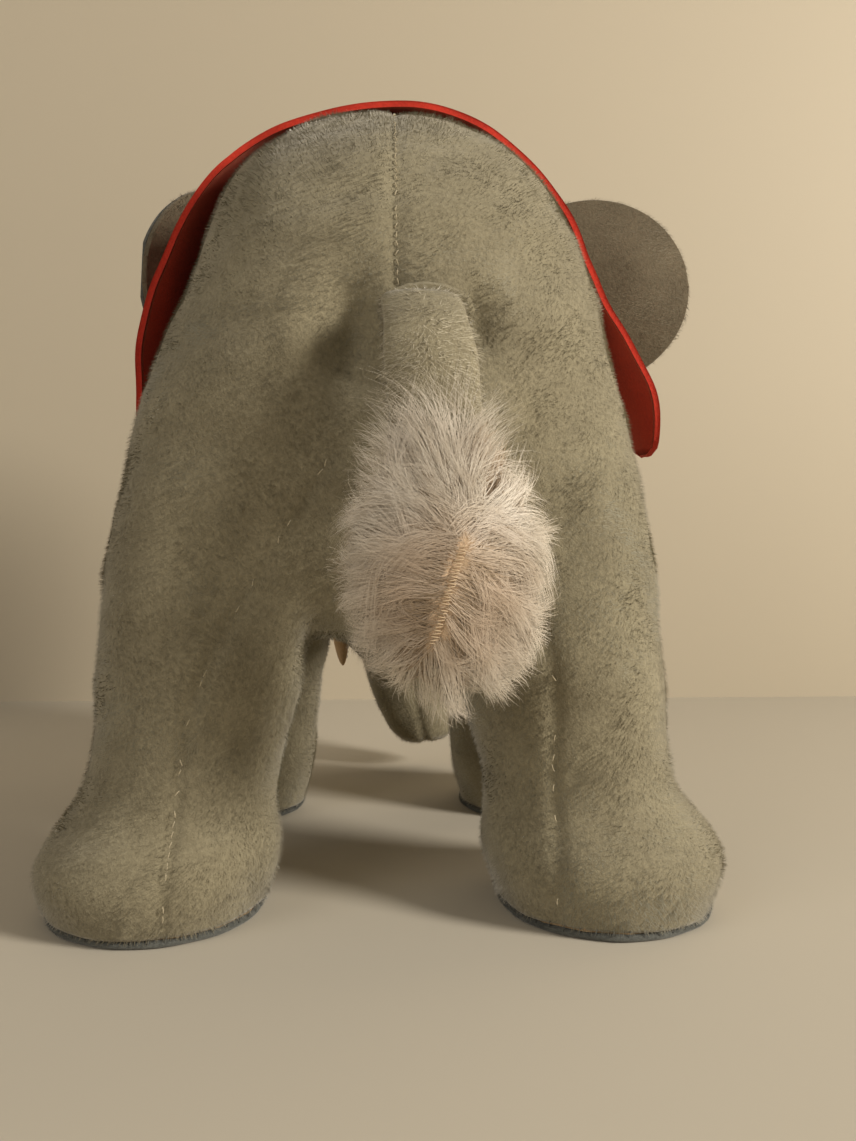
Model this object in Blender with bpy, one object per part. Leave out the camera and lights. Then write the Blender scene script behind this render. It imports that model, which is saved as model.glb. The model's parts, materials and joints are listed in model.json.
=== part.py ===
"""A stuffed elephant of grey mohair, standing on four legs, with a turning head.

Metres, +Z up. The animal faces +Y, its left side is -X, and it stands on the plane z = 0.
"""

import math
from collections import namedtuple

import bmesh
import bpy
import numpy as np
from mathutils import Matrix, Vector
from mathutils.bvhtree import BVHTree

# ---------------------------------------------------------------- materials' thickness and gaps
skin = 0.0016            # mohair cloth with its pile pressed flat
felt = 0.0018            # foot pads and blanket
card = 0.0012            # card sole inside each foot
seam_gap = 0.0004        # between two panels along their seam
rest_gap = 0.0003        # between pieces that lie on each other
turn_gap = 0.0006        # between the two faces of the neck joint

# ---------------------------------------------------------------- body
# One station is a ring round the body: a point on the back line, a point on the belly line,
# both as (y, z), and half the width.
Station = namedtuple("Station", "back belly half_width")
rump_pole = (-0.0600, 0.1450)
rump_ring = Station((-0.0590, 0.1700), (-0.0605, 0.1180), 0.0240)
torso = (
    Station((-0.0440, 0.2020), (-0.0500, 0.0780), 0.0560),
    Station((-0.0210, 0.2220), (-0.0240, 0.0690), 0.0665),
    Station((0.0060, 0.2265), (0.0030, 0.0680), 0.0650),
    Station((0.0280, 0.2245), (0.0270, 0.0690), 0.0615),
    Station((0.0450, 0.2200), (0.0510, 0.0700), 0.0580),
    Station((0.0560, 0.2130), (0.0770, 0.0710), 0.0560),
    Station((0.0630, 0.2060), (0.0980, 0.0860), 0.0505),
)
torso_fullness = 2.2     # exponent of the ring's outline: 2 is an ellipse, more is squarer
ring_points = 12
crotch_share = 0.62      # how near the inner thighs come to the middle, of the plain outline
back_seam_x = 0.0055     # the seam down the back runs this far to the right of the middle

# One leg ring: heights at its outer and inner side, centre (x, y) and radii (x, y).
LegRing = namedtuple("LegRing", "z_out z_in x y rx ry")
pad_top = felt + rest_gap
rear_leg = (
    LegRing(0.0900, 0.0580, 0.0490, -0.0255, 0.0305, 0.0320),
    LegRing(0.0420, 0.0420, 0.0528, -0.0288, 0.0262, 0.0265),
    LegRing(0.0295, 0.0295, 0.0555, -0.0296, 0.0272, 0.0282),
    LegRing(0.0165, 0.0165, 0.0618, -0.0312, 0.0362, 0.0382),
    LegRing(pad_top, pad_top, 0.0615, -0.0315, 0.0305, 0.0345),
)
front_leg = (
    LegRing(0.0880, 0.0580, 0.0440, 0.0735, 0.0268, 0.0265),
    LegRing(0.0400, 0.0400, 0.0485, 0.0765, 0.0240, 0.0240),
    LegRing(0.0170, 0.0170, 0.0545, 0.0815, 0.0305, 0.0325),
    LegRing(pad_top, pad_top, 0.0545, 0.0815, 0.0265, 0.0300),
)

# ---------------------------------------------------------------- neck joint
neck_y = 0.0880
neck_z = 0.1660
neck_tilt = math.radians(25)   # the axis points forward and this much up
neck_radius = 0.0400
neck_hole = 0.0200             # opening in the gathered skin on each side of the joint
disc_radius = 0.0240
disc_thickness = 0.0022
disc_slack = 0.0010            # between the gathered skin and the disc behind it
pin_wire = 0.0008              # radius of the cotter pin's wire
pin_clearance = 0.0005
pin_bend = 0.0030              # radius of the pin's eye and of its curled ends
washer_radius = 0.0080
washer_thickness = 0.0007
joint_chamber = 0.0125         # radius of the hollow in the stuffing round washer and pin
chamber_depth = 0.0110
neck_cut = 1.4 * neck_radius   # stuffing is cleared this wide behind the gathered skin
head_turn = math.radians(-2)   # how far the head is turned at rest

# ---------------------------------------------------------------- head
head = (
    Station((0.0800, 0.2170), (0.1190, 0.1220), 0.0480),
    Station((0.1050, 0.2370), (0.1290, 0.1050), 0.0535),
    Station((0.1410, 0.2350), (0.1360, 0.0930), 0.0515),
    Station((0.1670, 0.2060), (0.1390, 0.0840), 0.0430),
    Station((0.1760, 0.1600), (0.1395, 0.0760), 0.0330),
    Station((0.1750, 0.1130), (0.1385, 0.0650), 0.0280),
    Station((0.1680, 0.0690), (0.1365, 0.0470), 0.0235),
    Station((0.1630, 0.0330), (0.1340, 0.0260), 0.0185),
    Station((0.1620, 0.0130), (0.1345, 0.0110), 0.0165),
)
trunk_end = (0.1480, 0.0065)
trunk_lean = 0.0135            # how far the trunk's tip stands to the right of the head
trunk_lean_from = 0.1100       # height below which the trunk leans
trunk_lean_power = 1.5
head_fullness = 2.2
head_ring_points = 10

# ---------------------------------------------------------------- small pieces of the head
ear_half_height = 0.0355
ear_reach = 0.0710             # from the sewn edge to the far rim
ear_base_y = 0.0990            # where the ear's sewn edge meets the head, along y
ear_centre_z = 0.1865
ear_overlap = 0.0050           # how much of the ear's own oval its sewn edge cuts off
ear_blunt = 0.12               # half height of its far rim, of its full half height
ear_cup = 0.0040               # how deep the ear is cupped
ear_outer = 0.0018
ear_lining = 0.0012
ear_rows = 6
ear_columns = 7
right_ear_sweep = math.radians(6)
left_ear_sweep = math.radians(67)
eye_radius = 0.0042
eye_y = 0.1480
eye_z = 0.1820
eye_dome = 0.80                # height of its dome, of its radius
eye_rise = 0.25                # and how far the dome's middle stands off the cheek
eye_ring_angles = (-35, -10, 15, 40, 62, 80)
tusk_length = 0.0260
tusk_radius = 0.0042
tusk_spread = 0.0030           # how far its tip stands outside its root
tusk_sweep = 0.0040            # and ahead of it
tusk_taper = 1.6
tusk_blunt = 0.06              # square of the tip's radius, of the root's
tusk_parts = (0.0, 0.25, 0.5, 0.75, 0.92, 1.0)
tusk_root = (0.0260, 0.1500, 0.0700)
jaw_behind_trunk = 0.0035      # from the trunk's back at its narrow part to the jaw's flat face
jaw_front = head[6].belly[0] - jaw_behind_trunk
jaw_stations = (
    # height, half width, depth
    (0.1180, 0.0140, 0.0090),
    (0.1060, 0.0190, 0.0105),
    (0.0880, 0.0240, 0.0115),
    (0.0700, 0.0270, 0.0110),
    (0.0560, 0.0250, 0.0090),
    (0.0455, 0.0160, 0.0060),
)
jaw_sides = 12
mouth_half_width = 0.0235
mouth_half_height = 0.0150
mouth_z = 0.0640
mouth_thickness = felt / 2

# ---------------------------------------------------------------- tail
tail_x = 0.0110
tail_root_z = 0.1570
tail_half_width = 0.0120
tail_half_depth = 0.0042
tail_wall = 0.0014
tail_sides = 12
knuckle_parts = (-0.97, -0.75, -0.40)   # rings of the rounded root, of the half depth
knuckle_narrowing = 0.14
tail_path = (
    # from the root's pivot: (x, y, z)
    (0.0000, 0.0000, 0.0000),
    (0.0004, -0.0065, -0.0090),
    (0.0012, -0.0115, -0.0230),
    (0.0030, -0.0140, -0.0460),
    (0.0050, -0.0145, -0.0700),
    (0.0060, -0.0140, -0.0860),
)
patch_half_width = 0.0120
patch_half_height = 0.0070
patch_thickness = 0.0014
tuft_half_width = 0.0255
tuft_half_depth = 0.0115
tuft_top = -0.0260             # measured from the tail's pivot
tuft_bottom = -0.0990
tuft_steps = 9
tuft_sides = 16
tuft_blunt = 0.16              # width of its two ends, of the full width
tuft_fullness = 0.8

# ---------------------------------------------------------------- blanket
blanket_rear = -0.0190         # its rear edge on the back line
blanket_rear_hem = 0.0050      # and at the hem
blanket_front = 0.0400
blanket_hem_right = 0.1310     # height of its lower edge
blanket_hem_left = 0.1180
blanket_clearance = 0.0011
blanket_flare_right = 0.0230
blanket_flare_left = 0.0030
blanket_rows = 6
blanket_columns = 23
flare_from = 0.55              # where the flare starts, of the way from the back to the hem
flare_power = 1.5
corner_from = 0.86             # and where the rounded corner starts
blanket_corner = 0.0140
blanket_centre = 0.1450        # height of the line that the blanket is wrapped round
blanket_margin = 0.6           # ground looked at round each place, of half a cell

far = 0.3000                   # a distance that is outside the whole animal
crease_angle = math.radians(50)   # faces that meet at more than this show an edge
round_sides = 16

MOHAIR_GREY = (0.235, 0.195, 0.125)
FELT_RED = (0.560, 0.030, 0.015)
FELT_TAN = (0.520, 0.350, 0.190)
FELT_SLATE = (0.185, 0.170, 0.140)
FELT_ROSE = (0.520, 0.170, 0.120)
PILE_PALE = (0.560, 0.440, 0.320)
WOOD_WOOL = (0.560, 0.430, 0.250)
CARD_BROWN = (0.330, 0.230, 0.130)
BOARD_BROWN = (0.220, 0.120, 0.060)
STEEL = (0.500, 0.500, 0.500)
GLASS_BLACK = (0.010, 0.008, 0.006)

for old in list(bpy.data.objects):
    bpy.data.objects.remove(old)


# ---------------------------------------------------------------- materials and objects
def material(name, colour, roughness, metallic=0.0):
    found = bpy.data.materials.get(name)
    if found:
        return found
    made = bpy.data.materials.new(name)
    made.use_nodes = True
    shader = made.node_tree.nodes["Principled BSDF"]
    shader.inputs["Base Color"].default_value = (*colour, 1.0)
    shader.inputs["Roughness"].default_value = roughness
    shader.inputs["Metallic"].default_value = metallic
    made.diffuse_color = (*colour, 1.0)
    return made


def empty(name, location, parent=None, turn=None):
    made = bpy.data.objects.new(name, None)
    bpy.context.collection.objects.link(made)
    made.empty_display_size = 0.01
    made.parent = parent
    made.matrix_world = Matrix.Translation(location) @ (turn or Matrix())
    bpy.context.view_layer.update()
    return made


def add_object(name, points, faces, finish=None, parent=None):
    """A mesh object from world points, carried by its parent, whose place is its origin."""
    parent = parent or stand
    mesh = bpy.data.meshes.new(name)
    into_parent = parent.matrix_world.inverted()
    local = [into_parent @ Vector(p) for p in points]
    mesh.from_pydata(local, [], [tuple(f) for f in faces])
    mesh.validate()
    mesh.shade_smooth()
    mesh.set_sharp_from_angle(angle=crease_angle)
    made = bpy.data.objects.new(name, mesh)
    bpy.context.collection.objects.link(made)
    if finish:
        mesh.materials.append(finish)
    made.parent = parent
    return made


def evaluated_points(obj):
    """World points and triangles of an object, its modifiers applied."""
    bpy.context.view_layer.update()
    graph = bpy.context.evaluated_depsgraph_get()
    seen = obj.evaluated_get(graph)
    mesh = seen.to_mesh()
    mesh.calc_loop_triangles()
    points = [seen.matrix_world @ v.co for v in mesh.vertices]
    faces = [tuple(t.vertices) for t in mesh.loop_triangles]
    seen.to_mesh_clear()
    return points, faces


def cut(obj, cutter):
    """Takes cutter away from obj. The cutter stays in the file, hidden, as a wire."""
    cutter.hide_render = True
    cutter.display_type = "WIRE"
    step = obj.modifiers.new(cutter.name, "BOOLEAN")
    step.operation = "DIFFERENCE"
    step.solver = "EXACT"
    step.object = cutter


stand = empty("elephant", (0, 0, 0))


# ---------------------------------------------------------------- surfaces
class Surface:
    """Points, normals, triangles and a region number for each triangle."""

    def __init__(self, points, normals, faces, regions):
        self.points = np.array(points, float)
        self.normals = np.array(normals, float)
        self.faces = faces
        self.regions = regions

    def grown(self, distance):
        return self.points + self.normals * distance


def refine(cage_points, cage_faces, regions, open_planes):
    """One step of Catmull-Clark on a cage. Its open edges lie in open_planes, as
    (point, normal), and there the surface's normals are laid into or along the plane."""
    mesh = bpy.data.meshes.new("cage")
    mesh.from_pydata([tuple(p) for p in cage_points], [], [tuple(f) for f in cage_faces])
    for face, region in zip(mesh.polygons, regions):
        face.material_index = region
    for index in range(max(regions) + 1):
        mesh.materials.append(None)
    obj = bpy.data.objects.new("cage", mesh)
    bpy.context.collection.objects.link(obj)
    step = obj.modifiers.new("smooth", "SUBSURF")
    step.levels = 1
    step.render_levels = 1
    bpy.context.view_layer.update()
    seen = obj.evaluated_get(bpy.context.evaluated_depsgraph_get())
    work = bmesh.new()
    work.from_mesh(seen.to_mesh())
    seen.to_mesh_clear()
    bmesh.ops.triangulate(work, faces=work.faces, quad_method="SHORT_EDGE")
    work.normal_update()
    work.verts.index_update()
    points = [v.co.copy() for v in work.verts]
    normals = [v.normal.copy() for v in work.verts]
    for vert in work.verts:
        if not vert.is_boundary:
            continue
        for place, axis, along in open_planes:
            if abs((vert.co - place).dot(axis)) > 1e-5:
                continue
            flat = vert.normal - axis * vert.normal.dot(axis)
            facing = axis * math.copysign(1, vert.normal.dot(axis))
            normals[vert.index] = facing if along else flat.normalized()
    faces = [tuple(v.index for v in f.verts) for f in work.faces]
    tags = [f.material_index for f in work.faces]
    work.free()
    bpy.data.objects.remove(obj)
    return Surface(points, normals, faces, tags)


def boundary_edges(faces):
    edges = {}
    for face in faces:
        for a, b in zip(face, face[1:] + face[:1]):
            if edges.pop((b, a), None) is None:
                edges[(a, b)] = True
    return list(edges)


def panel(name, surface, region, thickness, finish, parent=None):
    """One cloth panel: the region of the surface, thickened inwards, its cut edges closed,
    and drawn back by half the seam gap from the panels beside it."""
    faces = [f for f, r in zip(surface.faces, surface.regions) if r == region]
    edges = boundary_edges(faces)
    outer = surface.grown(0.0)
    inner = surface.grown(-thickness)
    whole_edge = {i for edge in boundary_edges(surface.faces) for i in edge}
    pull = {}
    for face in faces:
        centre = surface.points[list(face)].mean(axis=0)
        for index in face:
            pull.setdefault(index, []).append(centre - surface.points[index])
    for index in {i for edge in edges for i in edge}:
        if index in whole_edge and not shared_seam(index, edges, whole_edge):
            continue
        away = np.mean(pull[index], axis=0)
        away -= surface.normals[index] * away.dot(surface.normals[index])
        length = np.linalg.norm(away)
        if length > 1e-9:
            outer[index] += away / length * seam_gap / 2
            inner[index] += away / length * seam_gap / 2
    used = sorted({i for face in faces for i in face})
    place = {index: number for number, index in enumerate(used)}
    count = len(used)
    points = [outer[i] for i in used] + [inner[i] for i in used]
    solid = [tuple(place[i] for i in f) for f in faces]
    solid += [tuple(place[i] + count for i in reversed(f)) for f in faces]
    for a, b in edges:
        solid += rim_faces(place[a], place[b], count, a < b)
    add_object(name, points, solid, finish, parent)


def rim_faces(a, b, lift, rising):
    """Two triangles that close a cut edge from a to b and the same edge lift points further.
    Both sides of a seam are split along the same diagonal, so that they stay apart."""
    if rising:
        return [(b, a, b + lift), (a, a + lift, b + lift)]
    return [(b, a, a + lift), (b, a + lift, b + lift)]


def sheet_solid(name, under, over, rows, columns, finish, parent=None):
    """A closed sheet from two grids of points, each of rows by columns."""
    size = len(under)
    faces = []
    for row in range(rows - 1):
        for column in range(columns - 1):
            a = row * columns + column
            b, c, d = a + 1, a + 1 + columns, a + columns
            faces += [(a, b, c), (a, c, d)]
            faces += [(c + size, b + size, a + size), (d + size, c + size, a + size)]
    rim = list(range(columns))
    rim += [row * columns + columns - 1 for row in range(1, rows)]
    rim += [(rows - 1) * columns + column for column in range(columns - 2, -1, -1)]
    rim += [row * columns for row in range(rows - 2, 0, -1)]
    for a, b in zip(rim, rim[1:] + rim[:1]):
        faces += rim_faces(a, b, size, a < b)
    sheet = add_object(name, under + over, faces, finish, parent)
    face_out(sheet)


def shared_seam(index, edges, whole_edge):
    """True where a seam runs out to the edge of the whole surface."""
    return any(index in edge and not set(edge) <= whole_edge for edge in edges)


def closed_form(name, surface, distance, finish=None, parent=None):
    """The whole surface, grown by distance, its open edges closed by flat faces."""
    points = [tuple(p) for p in surface.grown(distance)]
    faces = list(surface.faces)
    loops = {a: b for a, b in boundary_edges(faces)}
    while loops:
        start, step = loops.popitem()
        ring = [start]
        while step != start:
            ring.append(step)
            step = loops.pop(step)
        faces.append(tuple(reversed(ring)))
    return add_object(name, points, faces, finish, parent)


def half_space(name, place, outward):
    """A large block that fills everything beyond a plane."""
    turn = Vector(outward).to_track_quat("Z", "Y").to_matrix()
    corners = []
    for level in (0, far):
        for x, y in ((-far, -far), (far, -far), (far, far), (-far, far)):
            corners.append(Vector(place) + turn @ Vector((x, y, level)))
    faces = [(3, 2, 1, 0), (4, 5, 6, 7)]
    faces += [(i, (i + 1) % 4, (i + 1) % 4 + 4, i + 4) for i in range(4)]
    return add_object(name, corners, faces)


# ---------------------------------------------------------------- rings and lofts
def cage_growth(count):
    """How much wider a ring of the cage is than the smooth ring that it makes."""
    return 1 / (2 / 3 + math.cos(2 * math.pi / count) / 3)


def station_ring(station, count, fullness):
    """Points round one station, from the back line down the +X side to the belly and up."""
    back = Vector((0, *station.back))
    belly = Vector((0, *station.belly))
    middle = (back + belly) / 2
    up = (back - belly) / 2 * cage_growth(count)
    side = Vector((station.half_width * cage_growth(count), 0, 0))
    ring = []
    for k in range(count):
        turn = 2 * math.pi * k / count
        c = math.copysign(abs(math.cos(turn)) ** (2 / fullness), math.cos(turn))
        s = math.copysign(abs(math.sin(turn)) ** (2 / fullness), math.sin(turn))
        ring.append(middle + up * c + side * s)
    return ring


def plane_ring(centre, up, radius, count):
    """A round ring in the plane of X and up, in the order of station_ring."""
    ring = []
    for k in range(count):
        turn = 2 * math.pi * k / count
        ring.append(centre + up * radius * math.cos(turn) + Vector((radius * math.sin(turn), 0, 0)))
    return ring


def ring_faces(low, high, count):
    """Quads between two rings whose points start at low and high."""
    return [
        (low + k, low + (k + 1) % count, high + (k + 1) % count, high + k) for k in range(count)
    ]


def loft(name, rings, finish=None, parent=None):
    """A closed solid through rings of the same number of points."""
    count = len(rings[0])
    points = [p for ring in rings for p in ring]
    faces = []
    for row in range(len(rings) - 1):
        faces += ring_faces(row * count, (row + 1) * count, count)
    faces.append(tuple(reversed(range(count))))
    last = (len(rings) - 1) * count
    faces.append(tuple(range(last, last + count)))
    obj = add_object(name, points, faces, finish, parent)
    face_out(obj)
    return obj


def oval_ring(middle, up, half_width, half_height, sides):
    """An oval of points round middle: half_width along X and half_height along up."""
    ring = []
    for k in range(sides):
        turn = 2 * math.pi * k / sides
        across = Vector((half_width * math.cos(turn), 0, 0))
        ring.append(middle + across + up * half_height * math.sin(turn))
    return ring


def face_out(obj):
    work = bmesh.new()
    work.from_mesh(obj.data)
    bmesh.ops.recalc_face_normals(work, faces=work.faces)
    work.to_mesh(obj.data)
    work.free()


# ---------------------------------------------------------------- body surface
LEFT, RIGHT, GUSSET = range(3)
neck_axis = Vector((0, math.cos(neck_tilt), math.sin(neck_tilt)))
neck_up = Vector((0, -math.sin(neck_tilt), math.cos(neck_tilt)))
neck_centre = Vector((0, neck_y, neck_z))
rear_rows = range(1, 3)        # the bands of faces that a leg grows out of
front_rows = range(5, 7)
side_point = ring_points // 4
gusset_point = side_point + 1
inner_point = side_point + 2


def body_cage():
    rings = [station_ring(s, ring_points, torso_fullness) for s in (rump_ring, *torso)]
    for ring in rings:
        ring[0].x += back_seam_x
        for k in (inner_point, ring_points - inner_point):
            ring[k].x *= crotch_share
    edge = neck_radius * cage_growth(ring_points)
    rings.append(plane_ring(neck_centre, neck_up, edge, ring_points))
    rings.append(plane_ring(neck_centre, neck_up, neck_hole, ring_points))
    points = [p for ring in rings for p in ring]
    faces = []
    regions = []
    for row in range(len(rings) - 1):
        for k in range(ring_points):
            if in_leg_patch(row, k):
                continue
            a = row * ring_points + k
            b = row * ring_points + (k + 1) % ring_points
            faces.append((a, b, b + ring_points, a + ring_points))
            regions.append(torso_region(k))
    points.append(Vector((back_seam_x, *rump_pole)))
    pole = len(points) - 1
    for k in range(ring_points):
        faces.append((pole, (k + 1) % ring_points, k))
        regions.append(torso_region(k))
    for rows, leg in ((rear_rows, rear_leg), (front_rows, front_leg)):
        for side in (1, -1):
            add_leg(points, faces, regions, rows, leg, side)
    return points, faces, regions


def torso_region(k):
    """The panel of the face between ring points k and k + 1."""
    if gusset_point <= k < ring_points - gusset_point:
        return GUSSET
    return RIGHT if k < ring_points // 2 else LEFT


def in_leg_patch(row, k):
    over_leg = row in rear_rows or row in front_rows
    mirrored = ring_points - 1 - k
    return over_leg and (side_point <= k < inner_point or side_point <= mirrored < inner_point)


def add_leg(points, faces, regions, rows, leg, side):
    """Rings of eight points, from the hole in the torso's side down to the sole."""
    first, middle, last = rows.start, rows.start + 1, rows.stop

    def torso_point(row, k):
        return row * ring_points + (k if side > 0 else (ring_points - k) % ring_points)

    ring = [
        torso_point(first, side_point),
        torso_point(middle, side_point),
        torso_point(last, side_point),
        torso_point(last, gusset_point),
        torso_point(last, inner_point),
        torso_point(middle, inner_point),
        torso_point(first, inner_point),
        torso_point(first, gusset_point),
    ]
    count = len(ring)
    growth = cage_growth(count)
    for station in leg:
        start = len(points)
        for k in range(count):
            turn = 2 * math.pi * (k - 1) / count
            across = math.cos(turn)
            height = (station.z_out + station.z_in) / 2 + (station.z_out - station.z_in) / 2 * across
            x = station.x + station.rx * growth * across
            y = station.y + station.ry * growth * math.sin(turn)
            points.append(Vector((side * x, y, height)))
        below = list(range(start, start + count))
        for k in range(count):
            quad = (ring[k], ring[(k + 1) % count], below[(k + 1) % count], below[k])
            faces.append(quad if side < 0 else tuple(reversed(quad)))
            outside = k in (7, 0, 1, 2)
            regions.append((RIGHT if side > 0 else LEFT) if outside else GUSSET)
        ring = below


sole_plane = (Vector((0, 0, pad_top)), Vector((0, 0, 1)), False)
neck_plane = (neck_centre, neck_axis, True)
body = refine(*body_cage(), (sole_plane, neck_plane))


# ---------------------------------------------------------------- body pieces
def sole_rings(surface):
    """The four open rings of the surface at the soles, as lists of point numbers."""
    loops = {a: b for a, b in boundary_edges(surface.faces)}
    rings = []
    while loops:
        start, step = loops.popitem()
        ring = [start]
        while step != start:
            ring.append(step)
            step = loops.pop(step)
        if abs(surface.points[ring[0]][2] - pad_top) < 1e-4:
            rings.append(ring)
    return rings


def foot_name(centre):
    between = (rear_leg[-1].y + front_leg[-1].y) / 2
    return ("rear" if centre[1] < between else "front") + ("_left" if centre[0] < 0 else "_right")


def flat_disc(name, outline, bottom, top, finish, edge=0.0):
    """A flat sheet of the given outline, from bottom to top, its lower edge rounded off."""
    centre = np.mean(outline, axis=0)
    levels = [(bottom + edge, 0.0), (top, 0.0)]
    if edge:
        levels.insert(0, (bottom, edge))
    rings = []
    for height, inset in levels:
        ring = []
        for point in outline:
            out = (point - centre) * (1, 1, 0)
            out = out * (1 - inset / np.linalg.norm(out))
            ring.append(Vector((centre[0] + out[0], centre[1] + out[1], height)))
        rings.append(ring)
    loft(name, rings, finish)


def build_body():
    mohair = material("mohair_grey", MOHAIR_GREY, 0.9)
    panel("body_panel_left", body, LEFT, skin, mohair)
    panel("body_panel_right", body, RIGHT, skin, mohair)
    panel("belly_gusset", body, GUSSET, skin, mohair)
    pad_finish = material("felt_slate", FELT_SLATE, 0.95)
    card_finish = material("card_brown", CARD_BROWN, 0.85)
    card_bottom = pad_top
    for ring in sole_rings(body):
        outline = [body.points[i] for i in ring]
        foot = foot_name(np.mean(outline, axis=0))
        flat_disc("foot_pad_" + foot, outline, 0.0, felt, pad_finish, edge=felt / 3)
        inside = [body.grown(-skin - rest_gap)[i] for i in ring]
        flat_disc("sole_card_" + foot, inside, card_bottom, card_bottom + card, card_finish)
    stuffing = closed_form("body_stuffing", body, -skin - rest_gap, material("wood_wool", WOOD_WOOL, 1.0))
    floor = half_space("stuffing_floor", (0, 0, card_bottom + card + rest_gap), (0, 0, -1))
    cut(stuffing, floor)
    depth = skin + disc_slack + disc_thickness + rest_gap
    face = neck_centre - neck_axis * depth
    cut(stuffing, rod("stuffing_neck", face, neck_axis, neck_cut, 2 * depth))
    chamber = rod("body_chamber", neck_centre, -neck_axis, joint_chamber, depth + chamber_depth)
    cut(stuffing, chamber)


def rod(name, start, direction, radius, length, finish=None, parent=None, bore=0.0):
    """A round bar, or a tube if it has a bore."""
    turn = Vector(direction).normalized().to_track_quat("Z", "Y").to_matrix()
    loops = [(0.0, radius), (length, radius)]
    if bore:
        loops += [(length, bore), (0.0, bore)]
    points = []
    for height, width in loops:
        for k in range(round_sides):
            angle = 2 * math.pi * k / round_sides
            local = Vector((width * math.cos(angle), width * math.sin(angle), height))
            points.append(Vector(start) + turn @ local)
    faces = []
    pairs = len(loops) if bore else len(loops) - 1
    for row in range(pairs):
        faces += ring_faces(row * round_sides, (row + 1) % len(loops) * round_sides, round_sides)
    if not bore:
        faces.append(tuple(reversed(range(round_sides))))
        faces.append(tuple(range(round_sides, 2 * round_sides)))
    obj = add_object(name, points, faces, finish, parent)
    face_out(obj)
    return obj


# ---------------------------------------------------------------- head surface
def lean_at(height):
    """How far the trunk's middle stands to the right at a height."""
    part = max(0.0, (trunk_lean_from - height) / (trunk_lean_from - trunk_end[1]))
    return trunk_lean * part ** trunk_lean_power


def leaning_ring(station):
    ring = station_ring(station, head_ring_points, head_fullness)
    return [p + Vector((lean_at(p.z), 0, 0)) for p in ring]


def head_cage():
    start = neck_centre + neck_axis * turn_gap
    rings = [
        plane_ring(start, neck_up, neck_hole, head_ring_points),
        plane_ring(start, neck_up, neck_radius * cage_growth(head_ring_points), head_ring_points),
    ]
    rings += [leaning_ring(station) for station in head]
    points = [p for ring in rings for p in ring]
    faces = []
    regions = []
    for row in range(len(rings) - 1):
        for number, quad in enumerate(
            ring_faces(row * head_ring_points, (row + 1) * head_ring_points, head_ring_points)
        ):
            faces.append(quad)
            regions.append(head_region(number))
    points.append(Vector((trunk_lean, *trunk_end)))
    tip = len(points) - 1
    last = (len(rings) - 1) * head_ring_points
    for k in range(head_ring_points):
        faces.append((tip, last + k, last + (k + 1) % head_ring_points))
        regions.append(head_region(k))
    return points, faces, regions


def head_region(k):
    """Forehead strip between the two points next to the middle line, cheeks on both sides."""
    if k in (0, head_ring_points - 1):
        return GUSSET
    return RIGHT if k < head_ring_points // 2 else LEFT


head_start = neck_centre + neck_axis * turn_gap
head_surface = refine(*head_cage(), ((head_start, neck_axis, True),))


# ---------------------------------------------------------------- neck joint
def build_neck(head_parent):
    board = material("fibreboard", BOARD_BROWN, 0.8)
    steel = material("steel", STEEL, 0.35, 1.0)
    bore = 2 * pin_wire + pin_clearance + pin_clearance
    first = skin + disc_slack
    second = first + disc_thickness + rest_gap
    body_disc = neck_centre - neck_axis * first
    rod("body_neck_disc", body_disc, -neck_axis, disc_radius, disc_thickness, board, bore=bore)
    body_washer = neck_centre - neck_axis * second
    rod("body_neck_washer", body_washer, -neck_axis, washer_radius, washer_thickness, steel, bore=bore)
    rod("head_neck_disc", head_start + neck_axis * first, neck_axis, disc_radius, disc_thickness,
        board, head_parent, bore=bore)
    rod("head_neck_washer", head_start + neck_axis * second, neck_axis, washer_radius,
        washer_thickness, steel, head_parent, bore=bore)
    build_pin(second + washer_thickness + rest_gap + pin_wire, head_parent, steel)


def build_pin(reach, head_parent, finish):
    """A cotter pin: an eye on the head's side, two legs through the joint, and their ends
    curled outward on the body's side."""
    leg = pin_wire + pin_clearance / 2
    front = head_start + neck_axis * (reach + pin_bend)
    back = neck_centre - neck_axis * (reach + pin_bend)
    half = []
    for degrees in range(-60, 151, 30):
        angle = math.radians(degrees)
        out = leg + pin_bend * (1 + math.cos(angle))
        half.append(back + neck_axis * pin_bend * math.sin(angle) + Vector((out, 0, 0)))
    half.append(back + neck_axis * (pin_bend + pin_wire) + Vector((leg, 0, 0)))
    for degrees in range(-70, 71, 20):
        angle = math.radians(degrees)
        out = Vector((pin_bend * math.cos(angle), 0, 0))
        half.append(front + neck_axis * pin_bend * math.sin(angle) + out)
    route = half + [Vector((-p.x, p.y, p.z)) for p in reversed(half)]
    curve = bpy.data.curves.new("neck_pin", "CURVE")
    curve.dimensions = "3D"
    curve.bevel_depth = pin_wire
    curve.bevel_resolution = 1
    curve.use_fill_caps = True
    spline = curve.splines.new("POLY")
    spline.points.add(len(route) - 1)
    origin = head_parent.matrix_world.translation
    for spot, place in zip(spline.points, route):
        spot.co = (*(place - origin), 1)
    curve.materials.append(finish)
    obj = bpy.data.objects.new("neck_pin", curve)
    bpy.context.collection.objects.link(obj)
    obj.parent = head_parent


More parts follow.
